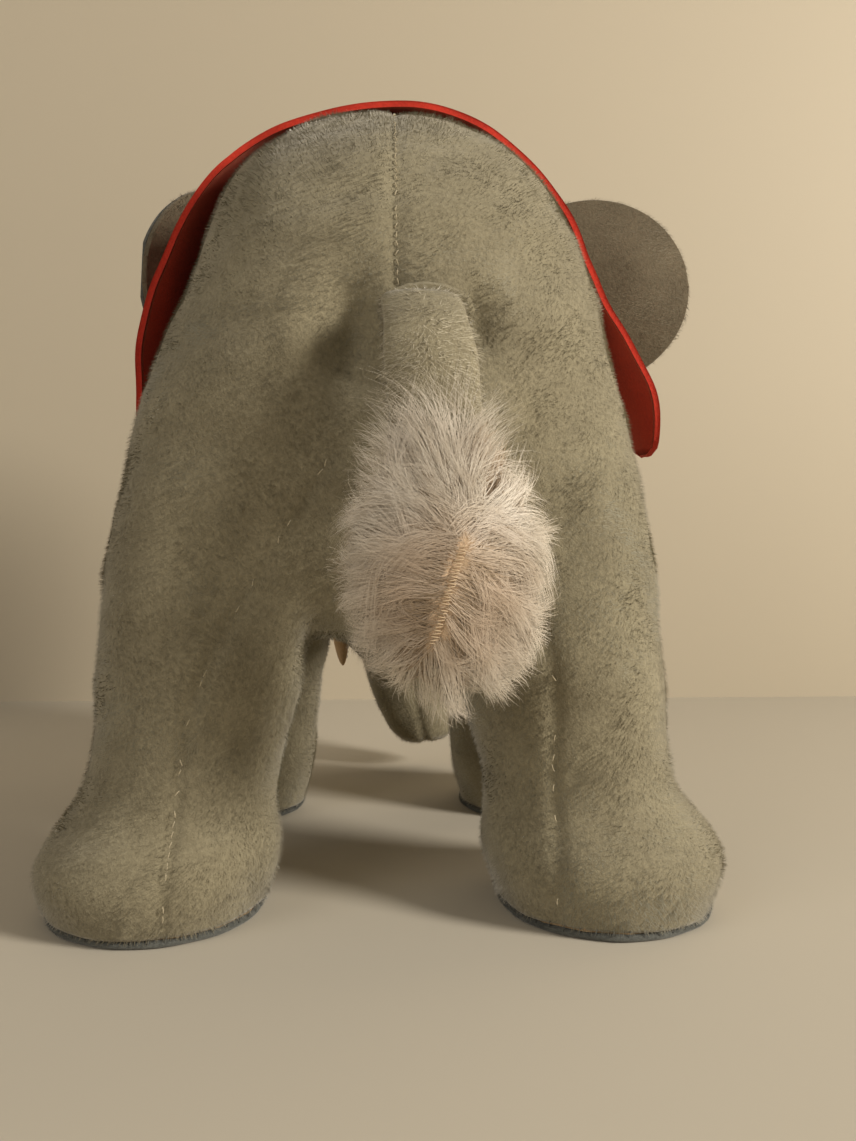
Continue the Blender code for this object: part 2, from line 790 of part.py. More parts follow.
# ---------------------------------------------------------------- head pieces
def build_head(head_parent):
    mohair = material("mohair_grey", MOHAIR_GREY, 0.9)
    panel("head_panel_left", head_surface, LEFT, skin, mohair, head_parent)
    panel("head_panel_right", head_surface, RIGHT, skin, mohair, head_parent)
    panel("head_gusset", head_surface, GUSSET, skin, mohair, head_parent)
    wool = material("wood_wool", WOOD_WOOL, 1.0)
    stuffing = closed_form("head_stuffing", head_surface, -skin - rest_gap, wool, head_parent)
    depth = skin + disc_slack + disc_thickness + rest_gap
    face = head_start + neck_axis * depth
    cut(stuffing, rod("head_stuffing_neck", face, -neck_axis, neck_cut, 2 * depth,
                      parent=head_parent))
    cut(stuffing, rod("head_chamber", head_start, neck_axis, joint_chamber, depth + chamber_depth,
                      parent=head_parent))
    grown = closed_form("head_grown", head_surface, rest_gap, None, head_parent)
    build_jaw(head_parent, grown, mohair)
    for side, label in ((-1, "left"), (1, "right")):
        build_eye(side, label, head_parent, grown)
        build_tusk(side, label, head_parent, grown)


def build_jaw(head_parent, grown, finish):
    """The jaw hangs behind the trunk. Its top is cut to the head's underside, and the mouth
    lining is sewn on its front."""
    rings = []
    for height, half_width, depth_there in jaw_stations:
        ring = []
        half_depth = depth_there / 2
        for k in range(jaw_sides):
            angle = 2 * math.pi * k / jaw_sides
            across = lean_at(height) + half_width * math.sin(angle)
            depth = min(half_depth, half_depth * math.cos(angle) * (2 if math.cos(angle) > 0 else 1))
            ring.append(Vector((across, jaw_front - half_depth + depth, height)))
        rings.append(ring)
    cut(loft("lower_jaw", rings, finish, head_parent), grown)
    place = Vector((lean_at(mouth_z), jaw_front + rest_gap, mouth_z))
    rose = material("felt_rose", FELT_ROSE, 0.95)
    oval_plate("mouth_lining", place, (0, 1, 0), mouth_half_width, mouth_half_height,
               mouth_thickness, rose, head_parent)


def build_eye(side, label, head_parent, grown):
    finder = tree_of(head_surface)
    hit, normal, _, _ = finder.ray_cast(Vector((side * far, eye_y, eye_z)), Vector((-side, 0, 0)))
    glass = material("glass_black", GLASS_BLACK, 0.05)
    eye = rod_dome("eye_" + label, hit + normal * rest_gap, normal, eye_radius, glass, head_parent)
    cut(eye, grown)


def rod_dome(name, base, direction, radius, finish, parent):
    """A low round bead that stands on base."""
    turn = Vector(direction).normalized().to_track_quat("Z", "Y").to_matrix()
    rings = []
    for degrees in eye_ring_angles:
        angle = math.radians(degrees)
        level = Vector((0, 0, radius * (eye_dome * math.sin(angle) + eye_rise)))
        width = radius * math.cos(angle)
        ring = oval_ring(level, Vector((0, 1, 0)), width, width, tail_sides)
        rings.append([base + turn @ point for point in ring])
    return loft(name, rings, finish, parent)


def build_tusk(side, label, head_parent, grown):
    """A tapered felt tusk, curved forward, whose root is cut to the cheek's shape."""
    x, y, z = tusk_root
    rings = []
    for part in tusk_parts:
        height = z - tusk_length * part
        across = lean_at(height) + side * (x + tusk_spread * part)
        middle = Vector((across, y + tusk_sweep * part * part, height))
        width = tusk_radius * math.sqrt(max(tusk_blunt, 1 - part ** tusk_taper))
        rings.append(oval_ring(middle, Vector((0, 1, 0)), width, width, round_sides // 2))
    tusk = loft("tusk_" + label, rings, material("felt_tan", FELT_TAN, 0.9), head_parent)
    cut(tusk, grown)


# ---------------------------------------------------------------- ears
def ear_layer(side, offset):
    """Points of one layer of the ear, row by row from its sewn edge, in the ear's own frame:
    u runs outward from the sewn edge, v up along it. Offset moves the layer backward."""
    sheet = []
    for row in range(ear_rows):
        u = ear_reach * math.sin(math.pi / 2 * row / (ear_rows - 1))
        half = ear_half(u)
        for column in range(ear_columns):
            v = half * math.sin(math.pi * (column / (ear_columns - 1) - 0.5))
            bow = (1 - (v / ear_half_height) ** 2) * math.sin(math.pi * u / ear_reach)
            sheet.append(Vector((side * u, -ear_cup * bow - offset, v)))
    return sheet


def ear_half(u):
    """Half the ear's height at a distance from its sewn edge."""
    half_length = (ear_reach + ear_overlap) / 2
    part = (u + ear_overlap) / half_length - 1
    return ear_half_height * math.sqrt(max(1 - part * part, ear_blunt ** 2))


def ear_hinge(side):
    """Middle and direction of the ear's sewn edge: a straight line that stands clear of the
    head by the radius that the ear's thick edge sweeps."""
    finder = tree_of(head_surface)
    found = []
    for part in (-1, -0.5, 0, 0.5, 1):
        start = Vector((side * far, ear_base_y, ear_centre_z + part * ear_half(0)))
        found.append(finder.ray_cast(start, Vector((-side, 0, 0)))[0])
    along = (found[-1] - found[0]).normalized()
    out = Vector((side, 0, 0))
    out -= along * out.dot(along)
    out.normalize()
    stand_off = ear_outer / 2 + rest_gap
    reach = max((point - found[0]).dot(out) for point in found) + stand_off
    middle = found[0] + along * (found[-1] - found[0]).length / 2 + out * reach
    return middle, along, out


def build_ear(side, label, sweep, head_parent):
    middle, along, out = ear_hinge(side)
    frame = Matrix((out * side, along.cross(out * side), along)).transposed().to_4x4()
    pivot = empty("ear_pivot_" + label, middle, head_parent, frame)
    turn = frame.to_3x3() @ Matrix.Rotation(-side * sweep, 3, "Z")
    mohair = material("mohair_grey", MOHAIR_GREY, 0.9)
    lining = material("felt_slate", FELT_SLATE, 0.95)
    half = ear_outer / 2
    layers = (
        ("ear_%s_outer" % label, -half, ear_outer, mohair),
        ("ear_%s_lining" % label, -half - rest_gap - ear_lining, ear_lining, lining),
    )
    for name, low, thickness, finish in layers:
        under = [middle + turn @ p for p in ear_layer(side, low)]
        over = [middle + turn @ p for p in ear_layer(side, low + thickness)]
        sheet_solid(name, under, over, ear_rows, ear_columns, finish, pivot)


# ---------------------------------------------------------------- tail
def tree_of(surface):
    return BVHTree.FromPolygons([Vector(p) for p in surface.points], surface.faces)


def tail_rings(half_width, half_depth, route, pivot):
    rings = []
    for number, step in enumerate(route):
        before = Vector(route[max(number - 1, 0)])
        after = Vector(route[min(number + 1, len(route) - 1)])
        out = Vector((1, 0, 0)).cross(after - before).normalized()
        rings.append(oval_ring(pivot + Vector(step), out, half_width, half_depth, tail_sides))
    return rings


def knuckle_rings(pivot):
    """The rounded root of the tail, above its pivot."""
    along = (Vector(tail_path[1]) - Vector(tail_path[0])).normalized()
    out = Vector((1, 0, 0)).cross(along).normalized()
    rings = []
    for part in knuckle_parts:
        thick = math.sqrt(1 - part * part)
        width = tail_half_width * (1 - knuckle_narrowing * (1 - thick))
        middle = pivot + along * part * tail_half_depth
        rings.append(oval_ring(middle, out, width, tail_half_depth * thick, tail_sides))
    return rings


def build_tail(parent):
    start = Vector((tail_x, -far, tail_root_z))
    hit, normal, _, _ = tree_of(body).ray_cast(start, Vector((0, 1, 0)))
    out = Vector((0, normal.y, normal.z)).normalized()
    patch_back = Vector((tail_x, hit.y, hit.z)) + out * 2 * rest_gap
    pivot = patch_back + out * (patch_thickness + rest_gap + tail_half_depth)
    swing = empty("tail_swing", pivot, parent)
    lift = empty("tail_lift", pivot, swing)
    mohair = material("mohair_grey", MOHAIR_GREY, 0.9)
    oval_plate("tail_root_patch", patch_back, out, patch_half_width, patch_half_height,
               patch_thickness, mohair, swing)
    outer = tail_rings(tail_half_width, tail_half_depth, tail_path, pivot)
    tube = loft("tail_tube", knuckle_rings(pivot) + outer, mohair, lift)
    route = [Vector(p) for p in tail_path]
    inner_width = tail_half_width - tail_wall
    inner_depth = tail_half_depth - tail_wall
    core = tail_rings(inner_width - rest_gap, inner_depth - rest_gap, route, pivot)
    loft("tail_stuffing", core, material("wood_wool", WOOD_WOOL, 1.0), lift)
    hollow = tail_rings(inner_width, inner_depth, route + [route[-1] * 2 - route[-2]], pivot)
    above = (route[0] - route[1]).normalized() * rest_gap
    cut(tube, loft("tail_cavity", [[p + above for p in hollow[0]]] + hollow[1:], None, lift))
    build_tuft(pivot, lift)


def build_tuft(pivot, lift):
    """The envelope of the long pile round the tail's end, with a socket for the tail."""
    route = [Vector(p) for p in tail_path]
    depths = [-p.z for p in route]
    rings = []
    for number in range(tuft_steps):
        fraction = 0.5 - 0.5 * math.cos(math.pi * number / (tuft_steps - 1))
        z = tuft_top + (tuft_bottom - tuft_top) * fraction
        round_part = math.sqrt(max(0.0, 1 - (2 * fraction - 1) ** 2))
        swell = max(tuft_blunt, round_part) ** tuft_fullness
        x = np.interp(-z, depths, [p.x for p in route])
        y = np.interp(-z, depths, [p.y for p in route])
        rings.append(oval_ring(pivot + Vector((x, y, z)), Vector((0, 1, 0)),
                               tuft_half_width * swell, tuft_half_depth * swell, tuft_sides))
    tuft = loft("tail_tuft", rings, material("pile_pale", PILE_PALE, 0.8), lift)
    end = route[-1] + (route[-1] - route[-2]).normalized() * rest_gap
    clear = 1.5 * rest_gap
    socket = tail_rings(tail_half_width + clear, tail_half_depth + clear, route[1:-1] + [end], pivot)
    cut(tuft, loft("tuft_socket", socket, None, lift))


def oval_plate(name, base, direction, half_width, half_height, thickness, finish, parent):
    """A flat oval piece that stands on base, its outer edge rounded off."""
    out = Vector(direction)
    up = out.cross(Vector((1, 0, 0))).normalized()
    rings = []
    for level, share in ((0.0, 1.0), (0.6, 1.0), (1.0, 0.9)):
        middle = base + out * thickness * level
        rings.append(oval_ring(middle, up, half_width * share, half_height * share, round_sides))
    loft(name, rings, finish, parent)


# ---------------------------------------------------------------- blanket
def blanket_place(finder, across, share):
    """Distance of the body under one place of the blanket, from the line the blanket is wrapped
    round, with the start and direction of the ray that found it. Across runs from the rear edge
    to the front edge, share from the left hem to the right hem."""
    widest = max(station.half_width for station in torso)
    hem = blanket_hem_right if share > 0 else blanket_hem_left
    hem_angle = math.pi / 2 + math.atan2(blanket_centre - hem, widest)
    into = max(0.0, (abs(share) - corner_from) / (1 - corner_from))
    inset = blanket_corner * (1 - math.sqrt(max(0.0, 1 - into * into)))
    rear = blanket_rear + (blanket_rear_hem - blanket_rear) * share * share
    y = rear + inset + (blanket_front - rear - 2 * inset) * across
    direction = Vector((math.sin(share * hem_angle), 0, math.cos(share * hem_angle)))
    start = Vector((0, y, blanket_centre))
    hit, _, _, _ = finder.ray_cast(start + direction * far, -direction)
    return (hit - start).length, start, direction


def build_blanket():
    """Each place stands clear of the highest ground within half a cell round it."""
    finder = tree_of(body)
    half_row = 0.5 / (blanket_rows - 1)
    half_column = 1 / (blanket_columns - 1)
    lower = []
    upper = []
    for row in range(blanket_rows):
        for column in range(blanket_columns):
            across = 2 * half_row * row
            share = 2 * half_column * column - 1
            heights = []
            for part in (-blanket_margin, 0, blanket_margin):
                for step in (-blanket_margin, 0, blanket_margin):
                    near_across = min(max(across + part * half_row, 0), 1)
                    near_share = min(max(share + step * half_column, -1), 1)
                    heights.append(blanket_place(finder, near_across, near_share)[0])
            _, start, direction = blanket_place(finder, across, share)
            flare = blanket_flare_right if share > 0 else blanket_flare_left
            lift = flare * max(0.0, (abs(share) - flare_from) / (1 - flare_from)) ** flare_power
            outside = start + direction * (max(heights) + blanket_clearance + lift)
            lower.append(outside)
            upper.append(outside + direction * felt)
    sheet_solid("saddle_blanket", lower, upper, blanket_rows, blanket_columns,
                material("felt_red", FELT_RED, 0.95))


# ---------------------------------------------------------------- assembly
def stand_on_origin():
    """Moves the whole animal so that the middle of its box stands over the origin."""
    low = Vector((1, 1, 1))
    high = Vector((-1, -1, -1))
    for obj in bpy.data.objects:
        if obj.type == "EMPTY" or obj.hide_render:
            continue
        for point in evaluated_points(obj)[0]:
            low = Vector(map(min, low, point))
            high = Vector(map(max, high, point))
    stand.location = (-(low.x + high.x) / 2, -(low.y + high.y) / 2, -low.z)


def main():
    build_body()
    build_blanket()
    build_tail(stand)
    head_pivot = empty("head_pivot", neck_centre, stand)
    build_neck(head_pivot)
    build_head(head_pivot)
    build_ear(1, "right", right_ear_sweep, head_pivot)
    build_ear(-1, "left", left_ear_sweep, head_pivot)
    head_pivot.matrix_world = Matrix.Translation(neck_centre) @ Matrix.Rotation(head_turn, 4, neck_axis)
    stand_on_origin()


main()
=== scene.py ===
"""Looks of a stuffed mohair elephant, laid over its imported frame. Metres, +Z up, it faces +Y."""
import json
import math
from collections import namedtuple

import bpy
import numpy as np
from mathutils import Matrix, Vector
from mathutils.bvhtree import BVHTree
from mathutils.kdtree import KDTree


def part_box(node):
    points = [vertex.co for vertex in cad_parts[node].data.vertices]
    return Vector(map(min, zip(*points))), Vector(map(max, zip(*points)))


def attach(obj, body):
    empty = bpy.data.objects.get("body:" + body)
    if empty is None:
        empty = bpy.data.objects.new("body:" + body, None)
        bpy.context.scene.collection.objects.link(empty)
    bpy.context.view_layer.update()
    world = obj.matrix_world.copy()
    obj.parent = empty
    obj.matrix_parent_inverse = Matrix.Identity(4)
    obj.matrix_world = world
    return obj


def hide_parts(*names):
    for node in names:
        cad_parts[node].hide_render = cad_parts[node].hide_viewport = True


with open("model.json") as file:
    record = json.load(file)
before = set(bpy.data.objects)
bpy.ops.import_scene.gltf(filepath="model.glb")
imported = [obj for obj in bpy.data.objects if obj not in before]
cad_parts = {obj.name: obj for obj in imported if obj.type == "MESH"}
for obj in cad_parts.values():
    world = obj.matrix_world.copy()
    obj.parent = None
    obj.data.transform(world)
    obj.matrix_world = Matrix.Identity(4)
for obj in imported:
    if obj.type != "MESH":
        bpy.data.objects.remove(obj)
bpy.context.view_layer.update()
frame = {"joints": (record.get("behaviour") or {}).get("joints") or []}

scene = bpy.context.scene
scene.view_settings.view_transform = "Standard"

# ---- where the model stands
rear_sole = (0.0615, 0.0315)    # how far a rear sole's middle is beside and behind the model's origin
pad_low, pad_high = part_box("foot_pad_rear_left")
stand = Vector(((pad_low.x + pad_high.x) / 2 + rear_sole[0],
                (pad_low.y + pad_high.y) / 2 + rear_sole[1], 0))
joints = {joint["name"]: joint for joint in frame["joints"]}

# ---- camera
view_height, focal_length = 1141, 1109          # pixels
camera_place = Vector((0, -0.335, 0.103))       # from where the model stands
camera_turn = (math.radians(90 - 2.09), 0, math.radians(-2.375))


def add_object(name, data):
    obj = bpy.data.objects.new(name, data)
    scene.collection.objects.link(obj)
    return obj


def add_camera():
    data = bpy.data.cameras.new("camera")
    data.sensor_fit = "VERTICAL"
    data.sensor_height = 36.0
    data.lens = data.sensor_height * focal_length / view_height
    data.clip_start = 0.01
    scene.camera = add_object("camera", data)
    scene.camera.location = stand + camera_place
    scene.camera.rotation_euler = camera_turn


add_camera()

# ---- sizes, as in the part's source
Station = namedtuple("Station", "back belly half_width")
LegRing = namedtuple("LegRing", "z_out z_in x y rx ry")
far = 0.3                # a distance beyond the whole object
felt = 0.0018
pad_top = 0.0021
rump_pole = (-0.06, 0.145)
rump_ring = Station((-0.059, 0.17), (-0.0605, 0.118), 0.024)
torso = (
    Station((-0.044, 0.202), (-0.05, 0.078), 0.056),
    Station((-0.021, 0.222), (-0.024, 0.069), 0.0665),
    Station((0.006, 0.2265), (0.003, 0.068), 0.065),
    Station((0.028, 0.2245), (0.027, 0.069), 0.0615),
    Station((0.045, 0.22), (0.051, 0.07), 0.058),
    Station((0.056, 0.213), (0.077, 0.071), 0.056),
    Station((0.063, 0.206), (0.098, 0.086), 0.0505),
)
rear_leg = (
    LegRing(0.09, 0.058, 0.049, -0.0255, 0.0305, 0.032),
    LegRing(0.042, 0.042, 0.0528, -0.0288, 0.0262, 0.0265),
    LegRing(0.0295, 0.0295, 0.0555, -0.0296, 0.0272, 0.0282),
    LegRing(0.0165, 0.0165, 0.0618, -0.0312, 0.0362, 0.0382),
    LegRing(pad_top, pad_top, 0.0615, -0.0315, 0.0305, 0.0345),
)
front_leg = (
    LegRing(0.088, 0.058, 0.044, 0.0735, 0.0268, 0.0265),
    LegRing(0.04, 0.04, 0.0485, 0.0765, 0.024, 0.024),
    LegRing(0.017, 0.017, 0.0545, 0.0815, 0.0305, 0.0325),
    LegRing(pad_top, pad_top, 0.0545, 0.0815, 0.0265, 0.03),
)
head = (
    Station((0.08, 0.217), (0.119, 0.122), 0.048),
    Station((0.105, 0.237), (0.129, 0.105), 0.0535),
    Station((0.141, 0.235), (0.136, 0.093), 0.0515),
    Station((0.167, 0.206), (0.139, 0.084), 0.043),
    Station((0.176, 0.16), (0.1395, 0.076), 0.033),
    Station((0.175, 0.113), (0.1385, 0.065), 0.028),
    Station((0.168, 0.069), (0.1365, 0.047), 0.0235),
    Station((0.163, 0.033), (0.134, 0.026), 0.0185),
    Station((0.162, 0.013), (0.1345, 0.011), 0.0165),
)
trunk_end = (0.148, 0.0065)
fullness = 2.2
ring_points = 12
head_ring_points = 10
leg_points = 8
crotch_share = 0.62
back_seam_x = 0.0055
neck_centre = Vector((0, 0.088, 0.166))
neck_tilt = math.radians(25)
neck_radius = 0.04
neck_hole = 0.02
turn_gap = 0.0006
trunk_lean = 0.0135
trunk_lean_from = 0.11
trunk_lean_power = 1.5
head_turn = math.radians(-2)
neck_axis = Vector((0, math.cos(neck_tilt), math.sin(neck_tilt)))
neck_up = Vector((0, -math.sin(neck_tilt), math.cos(neck_tilt)))
LEFT, RIGHT, GUSSET = 0, 1, 2

on_stand = Matrix.Translation(stand)
on_head = (
    Matrix.Translation(stand + neck_centre)
    @ Matrix.Rotation(head_turn, 4, neck_axis)
    @ Matrix.Translation(-neck_centre)
)


# ---- materials
def set_up(node, **values):
    """Sets a node's sockets, their names written with _ for a space, and its other settings."""
    for key, value in values.items():
        socket = key.replace("_", " ")
        if socket in node.inputs:
            node.inputs[socket].default_value = value
        else:
            setattr(node, key, value)
    return node


def new_material(name):
    """A material, its Principled shader, a function that adds a node and one that links sockets."""
    made = bpy.data.materials.new(name)
    made.use_nodes = True
    nodes = made.node_tree.nodes

    def add(kind, **values):
        return set_up(nodes.new("ShaderNode" + kind), **values)

    return made, nodes["Principled BSDF"], add, made.node_tree.links.new


def mottled(name, dark, light, patch_scale, fibre_scale, roughness=0.8, sheen=0.3, bump=0.0,
            tint=None, tint_scale=20.0, tint_share=0.3, tint_spot=None, sheen_tint=(1, 1, 1)):
    """Cloth or pile: two noises mix a dark and a light colour. A tint comes in where a third noise
    is high or, with tint_spot = (x, y, z, radius), near that spot."""
    made, shader, add, link = new_material(name)
    place = add("TexCoord").outputs["Object"]
    patch = add("TexNoise", Scale=patch_scale, Detail=4.0, Roughness=0.6)
    fibre = add("TexNoise", Scale=fibre_scale, Detail=3.0, Roughness=0.7)
    patch_part = add("Math", operation="MULTIPLY")
    patch_part.inputs[1].default_value = 0.45
    both = add("Math", operation="MULTIPLY_ADD")
    both.inputs[1].default_value = 0.55
    ramp = add("ValToRGB")
    for stop, at, colour in zip(ramp.color_ramp.elements, (0.34, 0.66), (dark, light)):
        stop.position = at
        stop.color = (*colour, 1)
    link(place, patch.inputs["Vector"])
    link(place, fibre.inputs["Vector"])
    link(patch.outputs["Fac"], patch_part.inputs[0])
    link(fibre.outputs["Fac"], both.inputs[0])
    link(patch_part.outputs[0], both.inputs[2])
    link(both.outputs[0], ramp.inputs["Fac"])
    colour = ramp.outputs["Color"]
    if tint:
        reach = add("MapRange", To_Max=tint_share)
        if tint_spot:
            other = add("VectorMath", operation="DISTANCE")
            other.inputs[1].default_value = tint_spot[:3]
            set_up(reach, From_Min=tint_spot[3], From_Max=tint_spot[3] * 0.45)
        else:
            other = add("TexNoise", Scale=tint_scale, Detail=2.0)
            set_up(reach, From_Min=0.45, From_Max=0.7)
        link(place, other.inputs[0])
        link(other.outputs["Value" if tint_spot else "Fac"], reach.inputs["Value"])
        mix = add("Mix", data_type="RGBA")
        first, second = [socket for socket in mix.inputs if socket.type == "RGBA"]
        second.default_value = (*tint, 1)
        link(reach.outputs["Result"], mix.inputs[0])
        link(colour, first)
        colour = [socket for socket in mix.outputs if socket.type == "RGBA"][0]
    link(colour, shader.inputs["Base Color"])
    set_up(shader, Roughness=roughness, Specular_IOR_Level=0.3, Sheen_Weight=sheen,
           Sheen_Roughness=0.5, Sheen_Tint=(*sheen_tint, 1))
    if bump:
        relief = add("Bump", Strength=0.6, Distance=bump)
        link(fibre.outputs["Fac"], relief.inputs["Height"])
        link(relief.outputs["Normal"], shader.inputs["Normal"])
    return made


def polished(name, colour, roughness, metallic, wear_scale):
    """Glass or metal whose gloss and colour vary a little."""
    made, shader, add, link = new_material(name)
    noise = add("TexNoise", Scale=wear_scale, Detail=5.0)
    rough = add("MapRange", To_Min=roughness, To_Max=roughness * 2.2)
    ramp = add("ValToRGB")
    for stop, share in zip(ramp.color_ramp.elements, (0.7, 1.0)):
        stop.color = (*[c * share for c in colour], 1)
    link(add("TexCoord").outputs["Object"], noise.inputs["Vector"])
    link(noise.outputs["Fac"], rough.inputs["Value"])
    link(rough.outputs["Result"], shader.inputs["Roughness"])
    link(noise.outputs["Fac"], ramp.inputs["Fac"])
    link(ramp.outputs["Color"], shader.inputs["Base Color"])
    shader.inputs["Metallic"].default_value = metallic
    return made


coat_finish = mottled("mohair_backing", (0.19, 0.163, 0.1), (0.33, 0.29, 0.188), 45, 900,
                      bump=0.0006, sheen=0.4)
pile_finish = mottled("mohair_pile", (0.205, 0.174, 0.106), (0.375, 0.328, 0.215), 50, 1800,
                      roughness=0.65, sheen=0.6, tint=(0.33, 0.335, 0.275), tint_scale=24,
                      tint_share=0.55, sheen_tint=(1.0, 0.96, 0.86))
# The tail's pile is paler than the body's: partly its own paler hair, partly painted light where the light
# falls full on the tail.
tail_pale_and_painted_light = mottled("tail_pile", (0.41, 0.362, 0.255), (0.72, 0.65, 0.495), 60, 1500,
                      roughness=0.6, sheen=0.6, sheen_tint=(1.0, 0.96, 0.88))
# The ears' pile and backing are darker than the body's: painted shade for the backs of the ears, which face
# away from the light.
ear_pile_painted_shade = mottled("ear_pile", (0.105, 0.084, 0.05), (0.225, 0.186, 0.118), 60, 1500,
                     roughness=0.65, sheen=0.4, sheen_tint=(1.0, 0.94, 0.84))
ear_backing_painted_shade = mottled("ear_backing_painted_shade", (0.085, 0.068, 0.04), (0.165, 0.135, 0.085), 45, 900,
                      bump=0.0006, sheen=0.2)
tail_pivot = Vector(joints["tail_lift"]["pos_m"])
tuft_spot = (*(tail_pivot + Vector((0.004, -0.0235, -0.069))), 0.024)
tuft_finish = mottled("tuft_pile", (0.48, 0.4, 0.3), (0.9, 0.83, 0.72), 150, 1800,
                      roughness=0.38, sheen=0.3, tint=(0.62, 0.46, 0.325), tint_spot=tuft_spot,
                      tint_share=0.6)
tuft_under_finish = mottled("tuft_under_pile", (0.29, 0.21, 0.135), (0.56, 0.43, 0.305), 120, 1800,
                            roughness=0.5, sheen=0.2)
tuft_thread = mottled("tuft_thread", (0.48, 0.35, 0.21), (0.7, 0.54, 0.36), 200, 2500,
                      roughness=0.6, bump=0.0001)
tuft_backing = mottled("tuft_backing", (0.52, 0.37, 0.235), (0.72, 0.54, 0.37), 300, 1500,
                       bump=0.0004)
felt_red = mottled("felt_red", (0.4, 0.018, 0.01), (0.64, 0.04, 0.018), 60, 1300,
                   roughness=0.9, sheen=0.25, bump=0.0003, sheen_tint=(1.0, 0.45, 0.3))
felt_slate = mottled("felt_slate", (0.056, 0.059, 0.054), (0.152, 0.157, 0.142), 80, 1400,
                     roughness=0.95, bump=0.0003)
felt_tan = mottled("felt_tan", (0.42, 0.27, 0.13), (0.62, 0.43, 0.24), 90, 1400,
                   roughness=0.9, bump=0.0002)
felt_rose = mottled("felt_rose", (0.38, 0.11, 0.075), (0.6, 0.21, 0.15), 90, 1400,
                    roughness=0.9, bump=0.0002)
thread_finish = mottled("seam_thread", (0.38, 0.32, 0.2), (0.6, 0.52, 0.36), 200, 2500,
                        roughness=0.6, bump=0.0001)
board_finish = mottled("fibreboard", (0.15, 0.08, 0.04), (0.28, 0.16, 0.085), 120, 900,
                       roughness=0.8, sheen=0.0, bump=0.0002)
card_finish = mottled("card", (0.26, 0.18, 0.1), (0.4, 0.29, 0.17), 90, 1200,
                      roughness=0.85, sheen=0.0, bump=0.0001)
glass_finish = polished("glass_black", (0.012, 0.009, 0.007), 0.05, 0.0, 300)
steel_finish = polished("steel", (0.55, 0.55, 0.56), 0.28, 1.0, 500)


# ---- meshes
def add_mesh(name, points, faces, finish, body, normals=None):
    """A piece from row-frame points, in its material, riding on a body."""
    mesh = bpy.data.meshes.new(name)
    points = np.asarray(points, np.float32)
    if isinstance(faces, np.ndarray):
        count, width = faces.shape
        mesh.vertices.add(len(points))
        mesh.vertices.foreach_set("co", points.ravel())
        mesh.loops.add(count * width)
        mesh.loops.foreach_set("vertex_index", faces.astype(np.int32).ravel())
        mesh.polygons.add(count)
        mesh.polygons.foreach_set("loop_start", np.arange(0, count * width, width, dtype=np.int32))
        mesh.update(calc_edges=True)
    else:
        mesh.from_pydata([tuple(p) for p in points], [], [tuple(f) for f in faces])
    mesh.polygons.foreach_set("use_smooth", [True] * len(mesh.polygons))
    if normals is not None:
        mesh.normals_split_custom_set_from_vertices(normals.astype(np.float32))
    mesh.materials.append(finish)
    obj = add_object(name, mesh)
    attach(obj, body)
    return obj


def read(rows, name, width, kind=np.float32):
    values = np.empty(len(rows) * width, kind)
    rows.foreach_get(name, values)
    return values.reshape(-1, width) if width > 1 else values


def moved(points, matrix):
    return np.asarray(points, float) @ np.array(matrix.to_3x3()).T + np.array(matrix.translation)


def unit(vectors):
    return vectors / np.maximum(np.linalg.norm(vectors, axis=-1, keepdims=True), 1e-12)


def wave_noise(points, size, seed, count=14):
    """Smooth noise from -1 to 1, as a sum of waves about size long."""
    rng = np.random.default_rng(seed)
    total = np.zeros(len(points))
    for _ in range(count):
        way = rng.normal(size=3)
        way /= np.linalg.norm(way)
        wave = 2 * math.pi / (size * rng.uniform(0.7, 1.6))
        total += np.sin(points @ way * wave + rng.uniform(0, 2 * math.pi))
    return total / math.sqrt(count)


def wave_field(points, size, seed):
    return np.stack([wave_noise(points, size, seed + k) for k in range(3)], axis=1)


def circle(count):
    return [2 * math.pi * k / count for k in range(count)]


def fuller(value, power):
    return math.copysign(abs(value) ** power, value)


def ring_faces(low, high, count):
    return [(low + k, low + (k + 1) % count, high + (k + 1) % count, high + k) for k in range(count)]


def lofted(rows, sides, flip=False):
    """Faces over rings of points, with the two faces that close the ends last."""
    last = (rows - 1) * sides
    faces = [f for row in range(rows - 1) for f in ring_faces(row * sides, (row + 1) * sides, sides)]
    faces += [tuple(range(sides))[::-1], tuple(range(last, last + sides))]
    return [face[::-1] for face in faces] if flip else faces


def halves(quads):
    """Quads cut into triangles."""
    return np.concatenate([quads[:, (0, 1, 2)], quads[:, (0, 2, 3)]])


def vertex_normals(points, quads):
    a, b, c, d = (points[quads[:, k]] for k in range(4))
    facing = np.cross(c - a, d - b)
    total = np.zeros_like(points)
    for k in range(4):
        np.add.at(total, quads[:, k], facing)
    return unit(total)


def skinned(points, sides):
    """For rings of points: closed faces that face out, the points' normals, the sides' triangles."""
    quads = np.array(lofted(len(points) // sides, sides)[:-2])
    normals = vertex_normals(points, quads)
    centre = points.reshape(-1, sides, 3).mean(axis=1).repeat(sides, axis=0)
    flip = ((points - centre) * normals).sum() < 0
    if flip:
        quads, normals = quads[:, ::-1], -normals
    return lofted(len(points) // sides, sides, flip), normals, halves(quads)


def grid_quads(rows, columns):
    starts = [row * columns + column for row in range(rows - 1) for column in range(columns - 1)]
    return [(a, a + 1, a + 1 + columns, a + columns) for a in starts]


def grid_rim(rows, columns):
    """Point numbers all round a grid."""
    rim = list(range(columns)) + [row * columns + columns - 1 for row in range(1, rows)]
    rim += [(rows - 1) * columns + column for column in range(columns - 2, -1, -1)]
    return rim + [row * columns for row in range(rows - 2, 0, -1)]


# ---- cages, as in the part's source
def cage_growth(count):
    return 1 / (2 / 3 + math.cos(2 * math.pi / count) / 3)


def station_ring(station, count):
    back = Vector((0, *station.back))
    belly = Vector((0, *station.belly))
    up = (back - belly) / 2 * cage_growth(count)
    side = Vector((station.half_width * cage_growth(count), 0, 0))
    return [(back + belly) / 2 + up * fuller(math.cos(turn), 2 / fullness)
            + side * fuller(math.sin(turn), 2 / fullness) for turn in circle(count)]


